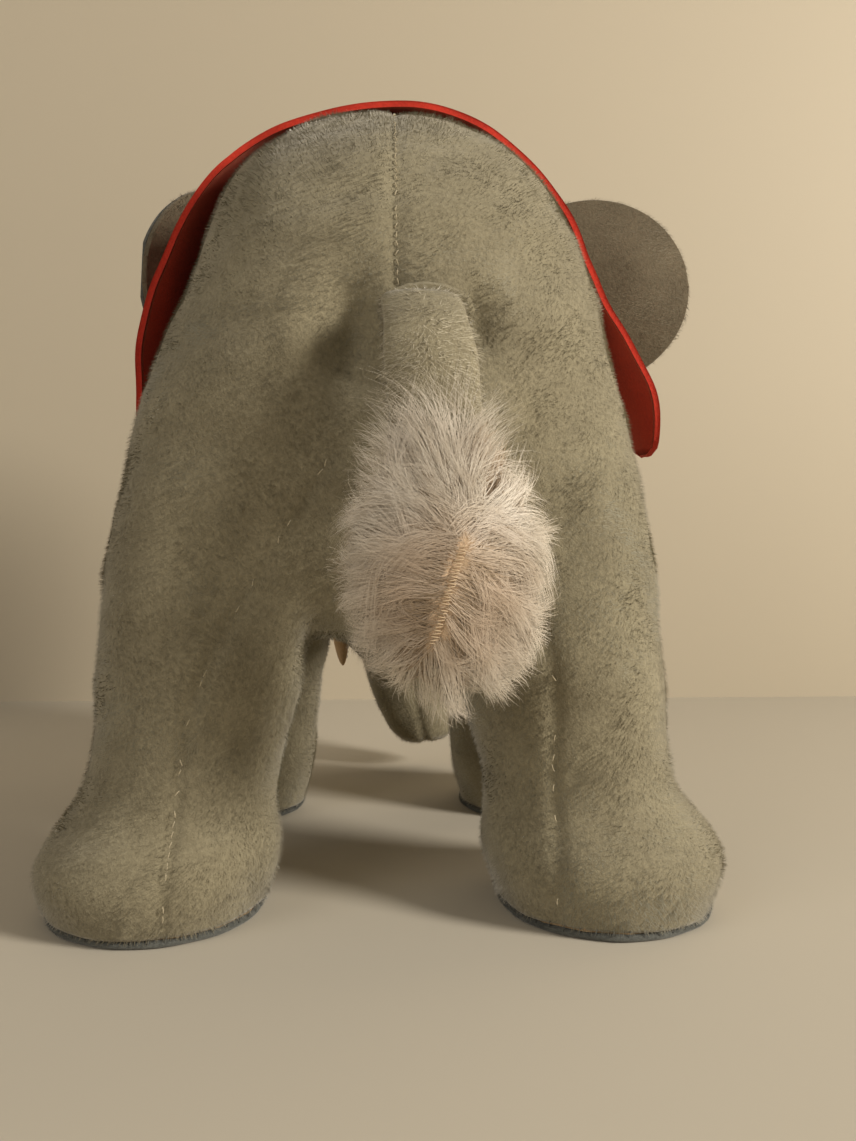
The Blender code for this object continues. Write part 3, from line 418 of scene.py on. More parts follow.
def plane_ring(centre, radius, count):
    return [centre + neck_up * radius * math.cos(turn) + Vector((radius * math.sin(turn), 0, 0))
            for turn in circle(count)]


def body_cage():
    side_point, gusset_point, inner_point = 3, 4, 5
    rings = [station_ring(s, ring_points) for s in (rump_ring, *torso)]
    for ring in rings:
        ring[0].x += back_seam_x
        for k in (inner_point, ring_points - inner_point):
            ring[k].x *= crotch_share
    rings.append(plane_ring(neck_centre, neck_radius * cage_growth(ring_points), ring_points))
    rings.append(plane_ring(neck_centre, neck_hole, ring_points))
    points = [p for ring in rings for p in ring]
    faces = []
    regions = []

    def region(k):
        if gusset_point <= k < ring_points - gusset_point:
            return GUSSET
        return RIGHT if k < ring_points // 2 else LEFT

    for row in range(len(rings) - 1):
        over_leg = 1 <= row < 3 or 5 <= row < 7
        for k in range(ring_points):
            mirrored = ring_points - 1 - k
            if over_leg and (side_point <= k < inner_point or side_point <= mirrored < inner_point):
                continue
            a = row * ring_points + k
            b = row * ring_points + (k + 1) % ring_points
            faces.append((a, b, b + ring_points, a + ring_points))
            regions.append(region(k))
    points.append(Vector((back_seam_x, *rump_pole)))
    for k in range(ring_points):
        faces.append((len(points) - 1, (k + 1) % ring_points, k))
        regions.append(region(k))
    for first, leg in ((1, rear_leg), (5, front_leg)):
        for side in (1, -1):
            ring = [row * ring_points + (k if side > 0 else (ring_points - k) % ring_points)
                    for row, k in ((first, 3), (first + 1, 3), (first + 2, 3), (first + 2, 4),
                                   (first + 2, 5), (first + 1, 5), (first, 5), (first, 4))]
            for station in leg:
                start = len(points)
                for k in range(leg_points):
                    turn = 2 * math.pi * (k - 1) / leg_points
                    across = math.cos(turn)
                    height = (station.z_out + station.z_in) / 2
                    height += (station.z_out - station.z_in) / 2 * across
                    x = station.x + station.rx * cage_growth(leg_points) * across
                    y = station.y + station.ry * cage_growth(leg_points) * math.sin(turn)
                    points.append(Vector((side * x, y, height)))
                below = list(range(start, start + leg_points))
                for k in range(leg_points):
                    ahead = (k + 1) % leg_points
                    quad = (ring[k], ring[ahead], below[ahead], below[k])
                    faces.append(quad if side < 0 else quad[::-1])
                    regions.append((RIGHT if side > 0 else LEFT) if k in (7, 0, 1, 2) else GUSSET)
                ring = below
    return points, faces, regions


def lean_at(height):
    part = max(0.0, (trunk_lean_from - height) / (trunk_lean_from - trunk_end[1]))
    return trunk_lean * part ** trunk_lean_power


def head_cage():
    start = neck_centre + neck_axis * turn_gap
    count = head_ring_points
    rings = [plane_ring(start, radius, count) for radius in (neck_hole, neck_radius * cage_growth(count))]
    for station in head:
        rings.append([p + Vector((lean_at(p.z), 0, 0)) for p in station_ring(station, count)])
    points = [p for ring in rings for p in ring] + [Vector((trunk_lean, *trunk_end))]
    last = (len(rings) - 1) * count
    faces = lofted(len(rings), count)[:-2]
    faces += [(len(points) - 1, last + k, last + (k + 1) % count) for k in range(count)]
    regions = [GUSSET if k in (0, count - 1) else RIGHT if k < count // 2 else LEFT for k in range(count)]
    return points, faces, regions * len(rings)


def smooth_route(knots, count):
    """Points on a Catmull-Rom curve through the knots."""
    knots = [Vector(k) for k in knots]
    route = []
    for number in range(count):
        t = number / (count - 1) * (len(knots) - 1)
        i = min(int(t), len(knots) - 2)
        t -= i
        a, b, c, d = knots[max(i - 1, 0)], knots[i], knots[i + 1], knots[min(i + 2, len(knots) - 1)]
        route.append(0.5 * (2 * b + (c - a) * t + (2 * a - 5 * b + 4 * c - d) * t * t
                            + (3 * b - a - 3 * c + d) * t ** 3))
    return route


def way_along(route, number):
    return (route[min(number + 1, len(route) - 1)] - route[max(number - 1, 0)]).normalized()


class Skin:
    """A smooth surface: points, normals, quads, a region for each quad, and its seam edges."""

    def __init__(self, cage, levels, offset, dropped=None, drawn=()):
        points, faces, regions = cage
        mesh = bpy.data.meshes.new("cage")
        mesh.from_pydata([tuple(p) for p in points], [], faces)
        mesh.polygons.foreach_set("material_index", regions)
        for _ in range(3):
            mesh.materials.append(None)
        obj = add_object("cage", mesh)
        obj.modifiers.new("smooth", "SUBSURF").levels = levels
        bpy.context.view_layer.update()
        smooth = obj.evaluated_get(bpy.context.evaluated_depsgraph_get())
        fine = smooth.to_mesh()
        self.normals = read(fine.vertices, "normal", 3)
        self.points = read(fine.vertices, "co", 3) + self.normals * offset
        self.quads = read(fine.loops, "vertex_index", 1, np.int32).reshape(-1, 4)
        self.regions = read(fine.polygons, "material_index", 1, np.int32)
        smooth.to_mesh_clear()
        bpy.data.objects.remove(obj)
        self.seams = [e for e in self.find_seams() if not (dropped and dropped(self.points[e[0]]))]
        self.drawn = [self.laid(line) for line in drawn]
        spots = [(self.points[a] + self.points[b]) / 2 for a, b in self.seams]
        spots += [spot for line in self.drawn for spot, _ in line]
        self.seam_tree = KDTree(len(spots))
        for number, spot in enumerate(spots):
            self.seam_tree.insert(spot, number)
        self.seam_tree.balance()

    def laid(self, line):
        """A line of (x, z) knots laid on the surface from behind, as (place, normal) pairs."""
        tree = self.tree(self.points)
        found = []
        for spot in smooth_route([(x, -far, z) for x, z in line], 140):
            place, normal, _, _ = tree.ray_cast(spot, Vector((0, 1, 0)))
            if place:
                found.append((place, normal if normal.y < 0 else -normal))
        return found

    def find_seams(self):
        sides = {}
        for quad, region in zip(self.quads.tolist(), self.regions.tolist()):
            for a, b in zip(quad, quad[1:] + quad[:1]):
                sides.setdefault((min(a, b), max(a, b)), set()).add(region)
        return [edge for edge, found in sides.items() if len(found) > 1]

    def seam_distance(self, points):
        return np.array([self.seam_tree.find(p)[2] for p in points])

    def tree(self, points):
        return BVHTree.FromPolygons([Vector(p) for p in points], self.quads.tolist())


# ---- pile
def scatter(points, normals, triangles, density, rng, weight=None):
    """Random places on triangles: (place, normal), density per square metre."""
    a, b, c = (points[triangles[:, k]] for k in range(3))
    area = np.linalg.norm(np.cross(b - a, c - a), axis=1) / 2
    if weight is not None:
        area = area * weight[triangles].mean(axis=1)
    count = int(area.sum() * density)
    chosen = rng.choice(len(triangles), count, p=area / area.sum())
    u = np.sqrt(rng.random(count))
    v = rng.random(count)
    shares = np.stack([1 - u, u * (1 - v), u * v], axis=1)[:, :, None]
    corners = triangles[chosen]
    return (points[corners] * shares).sum(axis=1), unit((normals[corners] * shares).sum(axis=1))


def blades(place, normal, way, length, width, lift, rng):
    """Pointed hairs, a triangle each: from place, along way laid on the surface, lifted off it."""
    flat = unit(way - normal * (way * normal).sum(axis=1, keepdims=True))
    side = unit(np.cross(normal, flat) + 0.45 * normal * rng.normal(size=(len(place), 1)))
    half = side * width[:, None] / 2
    tip = place + (flat * np.cos(lift)[:, None] + normal * np.sin(lift)[:, None]) * length[:, None]
    root = place - normal * 0.0003
    points = np.stack([root + half, root - half, tip], axis=1).reshape(-1, 3)
    facing = unit(normal + flat * 0.25 + side * rng.normal(scale=0.1, size=(len(place), 1)))
    return points, np.arange(len(points)).reshape(-1, 3), np.repeat(facing, 3, axis=0)


def comb(place, seed, base, mess, size=0.022):
    """The way the pile lies: base, turned by smooth noise."""
    base = base(place) if callable(base) else np.array(base)
    finer = wave_field(place, size * 0.3, seed + 9)
    return base + wave_field(place, size, seed) * mess + finer * mess * 0.5


def pile(name, body, surface, density, base, seed, length=(0.001, 0.0017), width=(0.00013, 0.00024),
         weight=None, finish=pile_finish, keep=None, matrix=None, mess=0.55,
         lift=(28, 66)):
    """A coat of short hairs, lifted by a range of degrees, over (points, normals, triangles)."""
    rng = np.random.default_rng(seed)
    place, normal = scatter(*surface, density, rng, weight)
    if keep is not None:
        kept = keep(place, normal)
        place, normal = place[kept], normal[kept]
    count = len(place)
    way = comb(place, seed, base, mess) + rng.normal(scale=0.28, size=(count, 3))
    long = rng.uniform(*length, count) * (1 + 0.25 * wave_noise(place, 0.012, seed + 3))
    wide = rng.uniform(*width, count)
    rise = np.radians(rng.uniform(*lift, count))
    points, triangles, facing = blades(place, normal, way, long, wide, rise, rng)
    if matrix:
        points = moved(points, matrix)
        facing = facing @ np.array(matrix.to_3x3()).T
    points[:, 2] = np.maximum(points[:, 2], 0.0001)      # none reaches below the floor
    return add_mesh(name, points, triangles, finish, body, normals=facing)


# ---- smooth coats
coat_inset = 0.0014            # the pile stands this much outside the cloth
back_rise = 0.0012             # the back is stuffed this much fuller
back_from = 0.19               # above this height,
back_fade = 0.025              # and fully so this much higher
rear_seams = (                 # seams of the rear legs, (x, z) as seen from behind
    ((-0.012, 0.123), (-0.0182, 0.113), (-0.0354, 0.0856), (-0.047, 0.061), (-0.0511, 0.042),
     (-0.0522, 0.0295), (-0.0532, 0.0165), (-0.054, 0.004)),
    ((0.018, 0.113), (0.033, 0.09), (0.0415, 0.0757), (0.0443, 0.061), (0.044, 0.042),
     (0.0444, 0.0295), (0.0444, 0.0165), (0.044, 0.004)))
body_dents = (                 # hollows in the stuffing: x, z, depth, half width, half height
    (-0.0085, 0.15, 0.0092, 0.008, 0.015),
    (0.024, 0.155, 0.005, 0.0065, 0.009),
    (-0.06, 0.18, 0.0065, 0.028, 0.03))
dent_front = 0.012            # the hollows run out here, towards the head
dent_fade = 0.022


class Shell:
    """A skin with lumps, seam grooves and hollows."""

    def __init__(self, skin, seed, lumps=0.0005, groove=0.001, groove_width=0.002, dents=()):
        self.skin = skin
        sink = groove * np.exp(-(skin.seam_distance(skin.points) / groove_width) ** 2)
        swell = (lumps * wave_noise(skin.points, 0.034, seed)
                 + 0.3 * lumps * wave_noise(skin.points, 0.011, seed + 1))
        across, along, height = skin.points.T
        if dents:
            swell = swell + back_rise * np.clip((height - back_from) / back_fade, 0, 1)
        for x, z, depth, wide, tall in dents:
            dent = depth * np.exp(-((across - x) / wide) ** 2 - ((height - z) / tall) ** 2)
            sink = sink + dent * np.clip((dent_front - along) / dent_fade, 0, 1)
        self.points = skin.points + skin.normals * (swell - sink)[:, None]

    def surface(self, region=None):
        quads = self.skin.quads if region is None else self.skin.quads[self.skin.regions == region]
        return self.points, self.skin.normals, halves(quads)

    def piece(self, name, matrix, body):
        """The whole skin as one closed mesh, its openings filled."""
        edges = {}
        faces = self.skin.quads.tolist()
        for quad in faces:
            for a, b in zip(quad, quad[1:] + quad[:1]):
                if edges.pop((b, a), None) is None:
                    edges[(a, b)] = True
        ahead = {a: b for a, b in edges}
        while ahead:
            start, step = ahead.popitem()
            ring = [start]
            while step != start:
                ring.append(step)
                step = ahead.pop(step)
            faces.append(ring[::-1])
        return add_mesh(name, moved(self.points, matrix), faces, coat_finish, body)


def is_rear_seam(spot):
    return spot[1] < -0.03 and spot[2] < 0.14 and abs(spot[0]) > 0.003


body_shell = Shell(Skin(body_cage(), 4, -coat_inset, is_rear_seam, rear_seams), 5, dents=body_dents)
head_shell = Shell(Skin(head_cage(), 4, -coat_inset), 21)
plain_tree = body_shell.skin.tree(body_shell.skin.points)

body_coat = body_shell.piece("body_coat", on_stand, "torso")
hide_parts("body_panel_left", "body_panel_right", "belly_gusset", "body_stuffing")
head_coat = head_shell.piece("head_coat", on_head, "head")
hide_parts("head_panel_left", "head_panel_right", "head_gusset", "head_stuffing")

# ---- blanket
blanket = dict(rear=-0.01, rear_hem=0.005, front=0.04, hem_right=0.131, hem_left=0.118,
               centre=0.145, corner=0.014, corner_from=0.86, flare_right=0.023,
               flare_left=0.003, flare_from=0.55, gape=0.0034)
blanket_rows = 26
blanket_columns = 150


def blanket_spot(across, share):
    """A point on the blanket's underside, in the part's own frame, and the way out from it."""
    b = blanket
    widest = max(station.half_width for station in torso)
    hem_angle = math.pi / 2 + math.atan2(b["centre"] - b["hem_right" if share > 0 else "hem_left"], widest)
    into = max(0.0, (abs(share) - b["corner_from"]) / (1 - b["corner_from"]))
    inset = b["corner"] * (1 - math.sqrt(max(0.0, 1 - into * into)))
    rear = b["rear"] + (b["rear_hem"] - b["rear"]) * share * share
    rear += 0.0006 * math.sin(share * 21) + 0.0004 * math.sin(share * 47 + 1)
    y = rear + inset + (b["front"] - rear - 2 * inset) * across
    way = Vector((math.sin(share * hem_angle), 0, math.cos(share * hem_angle)))
    hit = plain_tree.ray_cast(Vector((0, y, b["centre"])) + way * far, -way)[0]
    flare = b["flare_right" if share > 0 else "flare_left"]
    lift = 0.0018 + flare * max(0.0, (abs(share) - b["flare_from"]) / (1 - b["flare_from"])) ** 1.5
    lift += back_rise * min(1.0, max(0.0, (hit.z - back_from) / back_fade))
    if share < 0:
        lift += b["gape"] * (1 - across) ** 2 * math.sin(math.pi * min(1.0, max(0.0, (-share - 0.3) / 0.8)))
    lift += 0.0004 * math.sin(share * 16 + across * 4)
    return hit + way * lift, way


def build_blanket():
    """The felt with its rounded rim, and the points of its underside and its middle."""
    inside = []
    outside = []
    middle = []
    for row in range(blanket_rows):
        for column in range(blanket_columns):
            spot, way = blanket_spot(row / (blanket_rows - 1), 2 * column / (blanket_columns - 1) - 1)
            inside.append(spot)
            middle.append(spot + way * felt / 2)
            outside.append(spot + way * felt)
    size = len(inside)
    faces = []
    for quad in grid_quads(blanket_rows, blanket_columns):
        faces += [tuple(i + size for i in quad), quad[::-1]]
    rim = grid_rim(blanket_rows, blanket_columns)
    points = inside + outside
    start = len(points)
    for number, i in enumerate(rim):
        j = rim[(number + 1) % len(rim)]
        out = (middle[j] - middle[rim[number - 1]]).cross(outside[i] - inside[i]).normalized()
        if i < blanket_columns and out.dot(middle[i] - middle[i + blanket_columns]) < 0:
            out = -out
        points.append(middle[i] + out * felt * 0.32)
        a, b = start + number, start + (number + 1) % len(rim)
        faces += [(j, i, a, b), (b, a, i + size, j + size)]
    piece = add_mesh("blanket", moved(points, on_stand), faces, felt_red, "torso")
    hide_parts("saddle_blanket")
    return piece, inside, middle


blanket_piece, blanket_in, blanket_middle = build_blanket()
blanket_tree = BVHTree.FromPolygons(blanket_in, grid_quads(blanket_rows, blanket_columns))


# ---- pile of the body and the head
def from_neck(place):
    """How far places lie along the neck's axis, and away from it."""
    to_neck = place - np.array(neck_centre)
    along = to_neck @ np.array(neck_axis)
    return along, np.linalg.norm(to_neck - along[:, None] * np.array(neck_axis), axis=1)


def off_seams(shell, place, gap, share, seed):
    """Leaves out all but a share of the hairs nearer to a seam than gap."""
    rng = np.random.default_rng(seed)
    return (shell.skin.seam_distance(place) > gap) | (rng.random(len(place)) < share)


def body_keep(place, normal):
    """Leaves out hairs under the blanket, in the neck joint, under the tail's root and on seams."""
    along, around = from_neck(place)
    root = tail_pivot - stand
    at_tail = (np.hypot(place[:, 0] - root.x, place[:, 2] - root.z) < 0.0075) & (place[:, 1] < 0)
    kept = ~((along > -0.004) & (around < 0.036)) & ~at_tail & (place[:, 2] > 0.0022)
    near_blanket = kept & (place[:, 2] > 0.12) & (place[:, 1] > -0.035) & (place[:, 1] < 0.045)
    for number in np.nonzero(near_blanket)[0]:
        out = Vector(normal[number])
        if blanket_tree.ray_cast(Vector(place[number]) - out * 0.002, out, 0.0062)[0]:
            kept[number] = False
    return kept & off_seams(body_shell, place, 0.0007, 0.25, 77)


def head_keep(place, normal):
    along, around = from_neck(place)
    return ~((along < 0.004) & (around < 0.036)) & off_seams(head_shell, place, 0.0006, 0.3, 78)


for label, region, way in (("left", LEFT, (-0.1, -0.15, -1)), ("right", RIGHT, (0.1, -0.15, -1)),
                           ("belly", GUSSET, (0, -0.2, -1))):
    pile("body_pile_" + label, "torso", body_shell.surface(region), 2.9e6, way, 100 + region,
         keep=body_keep, matrix=on_stand)
pile("head_pile", "head", head_shell.surface(), 1.6e6, (0, 0.1, -1), 140, keep=head_keep, matrix=on_head)


# ---- tubes and threads
def tube(route, radii, sides):
    """Rings along a route, closed at both ends: (points, faces)."""
    points = []
    for number, spot in enumerate(route):
        along = way_along(route, number)
        side = along.cross(Vector((0.123, 0.456, 0.881))).normalized()
        up = side.cross(along)
        points += [spot + side * radii[number] * math.cos(turn) + up * radii[number] * math.sin(turn)
                   for turn in circle(sides)]
    return points, lofted(len(route), sides, True)


def stitch(spot, way, normal, length=0.0017, radius=0.00015, dip=0.0005):
    """One thread stitch that rises out of the cloth and dips back into it."""
    parts = (-1, -0.7, -0.3, 0.3, 0.7, 1)
    route = [spot + way * part * length / 2 + normal * (0.00025 - dip * part ** 4) for part in parts]
    return tube(route, [radius * (1 - 0.25 * part ** 4) for part in parts], 6)


def sew(name, stitches, body, matrix=Matrix(), finish=thread_finish):
    """Many stitches as one piece."""
    points = []
    faces = []
    for spots, quads in stitches:
        faces += [tuple(i + len(points) for i in quad) for quad in quads]
        points += spots
    return add_mesh(name, moved(points, matrix), faces, finish, body)


def seam_routes(skin):
    """The seams as chains of point numbers."""
    beside = {}
    for a, b in skin.seams:
        beside.setdefault(a, []).append(b)
        beside.setdefault(b, []).append(a)
    done = set()
    routes = []
    for start in [a for a, near in beside.items() if len(near) != 2]:
        for step in beside[start]:
            if (start, step) in done:
                continue
            route = [start]
            last, here = start, step
            while True:
                done.update(((last, here), (here, last)))
                route.append(here)
                onward = [n for n in beside[here] if n != last]
                if len(beside[here]) != 2 or not onward:
                    break
                last, here = here, onward[0]
            routes.append(route)
    return routes


def seam_stitches(name, shell, matrix, body, shown, spacing=0.0026, tilt=0.3):
    """Stitches of pale thread along the seams of a coat. shown gives the share of them that the
    pile leaves in sight at a place."""
    stitches = []
    rng = np.random.default_rng(91)
    lines = [[(Vector(shell.points[i]), Vector(shell.skin.normals[i])) for i in route]
             for route in seam_routes(shell.skin)]
    for line in lines + shell.skin.drawn:
        spots, normals = zip(*line)
        walked = 0.0
        wanted = spacing / 2
        for k in range(len(spots) - 1):
            step = (spots[k + 1] - spots[k]).length
            while walked + step > wanted:
                share = (wanted - walked) / step
                spot = spots[k].lerp(spots[k + 1], share)
                normal = normals[k].lerp(normals[k + 1], share).normalized()
                if rng.random() < shown(spot):
                    way = (spots[k + 1] - spots[k]).normalized()
                    across = normal.cross(way).normalized() * rng.normal(scale=tilt)
                    stitches.append(stitch(spot + normal * 0.0004, (way + across).normalized(), normal))
                wanted += spacing
            walked += step
    return sew(name, stitches, body, matrix)


def body_seam_shown(spot):
    """None inside the neck and at the soles, most on the back line and the left heel."""
    to_neck = spot - neck_centre
    if (to_neck.dot(neck_axis) > -0.003 and to_neck.length < 0.05) or spot.z < 0.006:
        return 0.0
    if spot.z > 0.15:
        return 0.85
    return 0.75 if spot.z < 0.045 and spot.x < 0 else 0.22


def head_seam_shown(spot):
    return 0.35 if (spot - neck_centre).dot(neck_axis) > 0.004 else 0.0


seam_stitches("body_stitches", body_shell, on_stand, "torso", body_seam_shown)
seam_stitches("head_stitches", head_shell, on_head, "head", head_seam_shown)

# ---- feet
sole_inset = 0.0014
sole_sides = 72
sole_stitches = 44
sole_profile = ((0.0, 0.0), (0.0, 0.955), (0.0003, 0.985), (0.0009, 1.0), (0.0016, 0.99),
                (felt + 0.0002, 0.965), (felt + 0.0002, 0.0))      # height, share of the radius


def build_pad(foot):
    """A round felt sole, sewn on all round its rim."""
    low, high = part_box("foot_pad_" + foot)
    centre = (low + high) / 2
    rx, ry = (high.x - low.x) / 2 - sole_inset, (high.y - low.y) / 2 - sole_inset
    points = []
    for height, share in sole_profile:
        for turn in circle(sole_sides):
            uneven = 1 + 0.005 * math.sin(turn * 7) + 0.004 * math.sin(turn * 13 + centre.x * 90)
            cut = max(share, 0.02) * uneven
            points.append((centre.x + rx * cut * math.cos(turn), centre.y + ry * cut * math.sin(turn),
                           height))
    faces = lofted(len(sole_profile), sole_sides)
    pad = add_mesh("sole_" + foot, points, faces, felt_slate, "torso")
    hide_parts("foot_pad_" + foot)
    spots = np.array(points)
    rim = np.array(faces[2 * sole_sides:5 * sole_sides])
    out = unit((spots - np.array(centre)) * (1 / rx ** 2, 1 / ry ** 2, 0))
    pile("sole_fuzz_" + foot, "torso", (spots, out, halves(rim)), 7e6, (0, 0, 0.6), 150 + len(foot),
         length=(0.0004, 0.001), width=(0.00008, 0.00016), finish=felt_slate,
         lift=(20, 70))
    stitches = []
    for turn in circle(sole_stitches):
        out = Vector((math.cos(turn) * rx, math.sin(turn) * ry, 0))
        spot = Vector((centre.x, centre.y, 0.0022)) + out * 0.992
        way = (Vector((0, 0, 1)) + 0.35 * Vector((-math.sin(turn), math.cos(turn), 0))).normalized()
        stitches.append(stitch(spot, way, out.normalized(), 0.002, 0.00012, 0.0003))
    sew("sole_stitches_" + foot, stitches, "torso", finish=felt_slate)


for foot in ("rear_left", "rear_right", "front_left", "front_right"):
    build_pad(foot)

# ---- ears
ear = dict(half_height=0.0355, reach=0.071, overlap=0.005, blunt=0.12, cup=0.004,
           outer=0.0018, lining=0.0012, lining_inset=0.0012)
rest_gap = 0.0003
ear_sweep = {"right": math.radians(6), "left": math.radians(67)}
ear_grid = 44
ear_stitches = 46


def ear_frame(label):
    """Matrix from the ear's own frame, at rest, to the model's frame."""
    side = 1 if label == "right" else -1
    joint = joints[label + "_ear_flap"]
    along = Vector(joint["axis"]).normalized() * -side
    across = Matrix.Rotation(head_turn, 3, neck_axis) @ Vector((1, 0, 0))
    out = (across - along * across.dot(along)).normalized()
    turn = Matrix((out, along.cross(out), along)).transposed()
    turn = turn @ Matrix.Rotation(-side * ear_sweep[label], 3, "Z")
    return Matrix.Translation(joint["pos_m"]) @ turn.to_4x4()


def ear_place(side, u, v, offset):
    """A point of the ear: u out from its sewn edge, v from -1 to 1 along it."""
    half_length = (ear["reach"] + ear["overlap"]) / 2
    part = (u + ear["overlap"]) / half_length - 1
    half = ear["half_height"] * math.sqrt(max(1 - part * part, ear["blunt"] ** 2))
    height = half * math.sin(math.pi / 2 * v)
    bow = (1 - (height / ear["half_height"]) ** 2) * math.sin(math.pi * u / ear["reach"])
    wave = 0.0011 * math.sin(u * 95 + height * 60) * u / ear["reach"]
    return side * u, -ear["cup"] * bow - offset + wave, height


def ear_layer(side, low, thick, shrink):
    """A closed sheet with a rounded rim, as (points, quads): grid under, then grid over."""
    n = ear_grid
    points = []
    middle = low + thick / 2
    for level in (low, low + thick):
        for row in range(n):
            turn = row / (n - 1)
            u = shrink + (ear["reach"] - 2 * shrink) * math.sin(math.pi / 2 * turn)
            for column in range(n):
                v = 2 * column / (n - 1) - 1
                edge = min(1 - abs(v), 2 * (1 - turn))
                round_part = math.sqrt(1 - (1 - min(1, edge / 0.12)) ** 2)
                x, y, z = ear_place(side, u, v, middle + (level - middle) * (0.25 + 0.75 * round_part))
                points.append((x, y, z * (1 - shrink / ear["half_height"])))
    quads = []
    for quad in grid_quads(n, n):
        quads += [quad, tuple(i + n * n for i in quad[::-1])]
    rim = grid_rim(n, n)
    quads = np.array(quads + [(b, a, a + n * n, b + n * n) for a, b in zip(rim, rim[1:] + rim[:1])])
    return np.array(points), quads[:, ::-1] if side < 0 else quads


def build_ear(label):
    side = 1 if label == "right" else -1
    frame_of = ear_frame(label)
    body = "ear_" + label
    half = ear["outer"] / 2
    points, quads = ear_layer(side, -half, ear["outer"], 0.0)
    normals = vertex_normals(points, quads)
    cloth = add_mesh(body + "_cloth", moved(points, frame_of), quads, ear_backing_painted_shade, body)
    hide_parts(body + "_outer")
    pile(body + "_pile", body, (points, normals, halves(quads)), 2.3e6, (side * 1.0, 0, -0.7), 160 + side,
         weight=np.where(normals[:, 1] < 0.5, 1.0, 0.0), matrix=frame_of,
         keep=lambda place, normal: np.abs(place[:, 0]) > 0.0015,
         length=(0.0012, 0.0022), finish=ear_pile_painted_shade, lift=(18, 50))
    low = -half - rest_gap - ear["lining"]
    points, quads = ear_layer(side, low, ear["lining"], ear["lining_inset"])
    felt_side = add_mesh(body + "_felt", moved(points, frame_of), quads, felt_slate, body)
    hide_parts(body + "_lining")
    stitches = []
    for k in range(ear_stitches):
        turn = -math.pi / 2 + math.pi * (k + 0.5) / ear_stitches
        u = ear["reach"] * max(0.03, math.cos(turn) ** 0.7) * 0.955
        v = 0.93 * math.sin(turn)
        spot = Vector(ear_place(side, u, v, low - 0.00005))
        ahead = Vector(ear_place(side, u * 0.97, v * 0.97, low - 0.00005))
        stitches.append(stitch(spot, (spot - ahead).normalized(), Vector((0, 1, 0)), 0.0022, 0.00016))
    sew(body + "_stitches", stitches, body, frame_of)


build_ear("right")
build_ear("left")

# ---- tail
tail_path = ((0.0000, 0.0000, 0.0000), (0.0004, -0.0065, -0.009), (0.0012, -0.0115, -0.023),
             (0.003, -0.014, -0.046), (0.005, -0.0145, -0.07), (0.006, -0.014, -0.086))
tail_width = 0.012
tail_depth = 0.0042
tail_sides = 40
root_narrowing = 0.17          # the tail's right edge curves in to its root
narrow_rings = 22
tail_place = Matrix.Translation(tail_pivot)


def comb_tail(place):
    side = np.clip(place[:, 0:1] / tail_width, -1, 1)
    return np.concatenate([side * 1.8, np.zeros_like(side), -np.ones_like(side)], axis=1)


def build_tail():
    route = smooth_route(tail_path, 40)
    first = (route[1] - route[0]).normalized()
    rings = [(route[0] + first * part * tail_depth, first, math.sqrt(1 - part * part))
             for part in (-0.98, -0.9, -0.75, -0.55, -0.3)]
    rings += [(spot, way_along(route, number), 1.0) for number, spot in enumerate(route)]
    points = []
    for number, (spot, along, share) in enumerate(rings):
        out = Vector((1, 0, 0)).cross(along).normalized()
        wide = (tail_width - 0.001) * (0.86 + 0.14 * share)
        wide *= 1 + 0.02 * math.sin(number * 0.5)
        lost = tail_width * root_narrowing * (1 - min(1.0, number / narrow_rings)) ** 2
        wide -= lost
        for turn in circle(tail_sides):
            across = wide * fuller(math.cos(turn), 0.9) - lost
            points.append(spot + Vector((across, 0, 0))
                          + out * (tail_depth - 0.0008) * share * math.sin(turn))
    points = np.array(points)
    faces, normals, triangles = skinned(points, tail_sides)
    cloth = add_mesh("tail_cloth", moved(points, tail_place), faces, coat_finish, "tail")
    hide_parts("tail_tube", "tail_stuffing")
    pile("tail_pile", "tail", (points, normals, triangles), 2.4e6, comb_tail, 170,
         keep=lambda place, normal: place[:, 2] > -0.07, matrix=tail_place, finish=tail_pale_and_painted_light,
         length=(0.0015, 0.0029), width=(0.00014, 0.00026), lift=(18, 50), mess=0.25)


def root_keep(place, normal):
    """Leaves out hairs on the front of the root's patch and where the tail stands on it."""
    return (normal[:, 1] < 0.5) & (np.hypot(*(place - np.array(tail_pivot))[:, (0, 2)].T) > 0.0098)


def build_root_pile():
    """Hair on the patch that joins the tail to the rump."""
    patch = bpy.data.objects["tail_root_patch"]
    patch.data.calc_loop_triangles()
    spots = moved(read(patch.data.vertices, "co", 3), patch.matrix_world)
    normals = read(patch.data.vertices, "normal", 3) @ np.array(patch.matrix_world.to_3x3()).T
    triangles = read(patch.data.loop_triangles, "vertices", 3, np.int32)
    pile("tail_root_pile", "tail_root", (spots, normals, triangles), 3.5e6, (0, -0.3, -1), 175,
         keep=root_keep, length=(0.0012, 0.002))


build_tail()
build_root_pile()

# ---- tuft
tuft_top = -0.026
tuft_bottom = -0.099
tuft_middle = Vector((0.004, -0.0143, (tuft_top + tuft_bottom) / 2))
tuft_size = np.array((0.0255, 0.0115, (tuft_top - tuft_bottom) / 2))
core_rows, core_sides = 40, 56
core_share = 0.66        # the sewn egg inside the hair, as a share of the whole
seam_bare = 0.002       # no hair roots this near the seam
draw_in = 0.55           # how much the tips of a lock draw together
hug = 0.72               # how closely the hair follows the outer egg
strand_steps = 6
tuft_seam = (Vector((0.003, 0, 0.0045)), Vector((-0.0035, 0, -0.0175)))   # from the tuft's middle
tuft_stitches = 30


def seam_offset(spot):
    """Distance from the tuft's seam in the X-Z plane, and the nearest place on it."""
    a, b = tuft_seam
    flat = Vector((spot[0], 0, spot[2]))
    share = min(1.0, max(0.0, (flat - a).dot(b - a) / (b - a).length_squared))
    near = a.lerp(b, share)
    return (flat - near).length, near


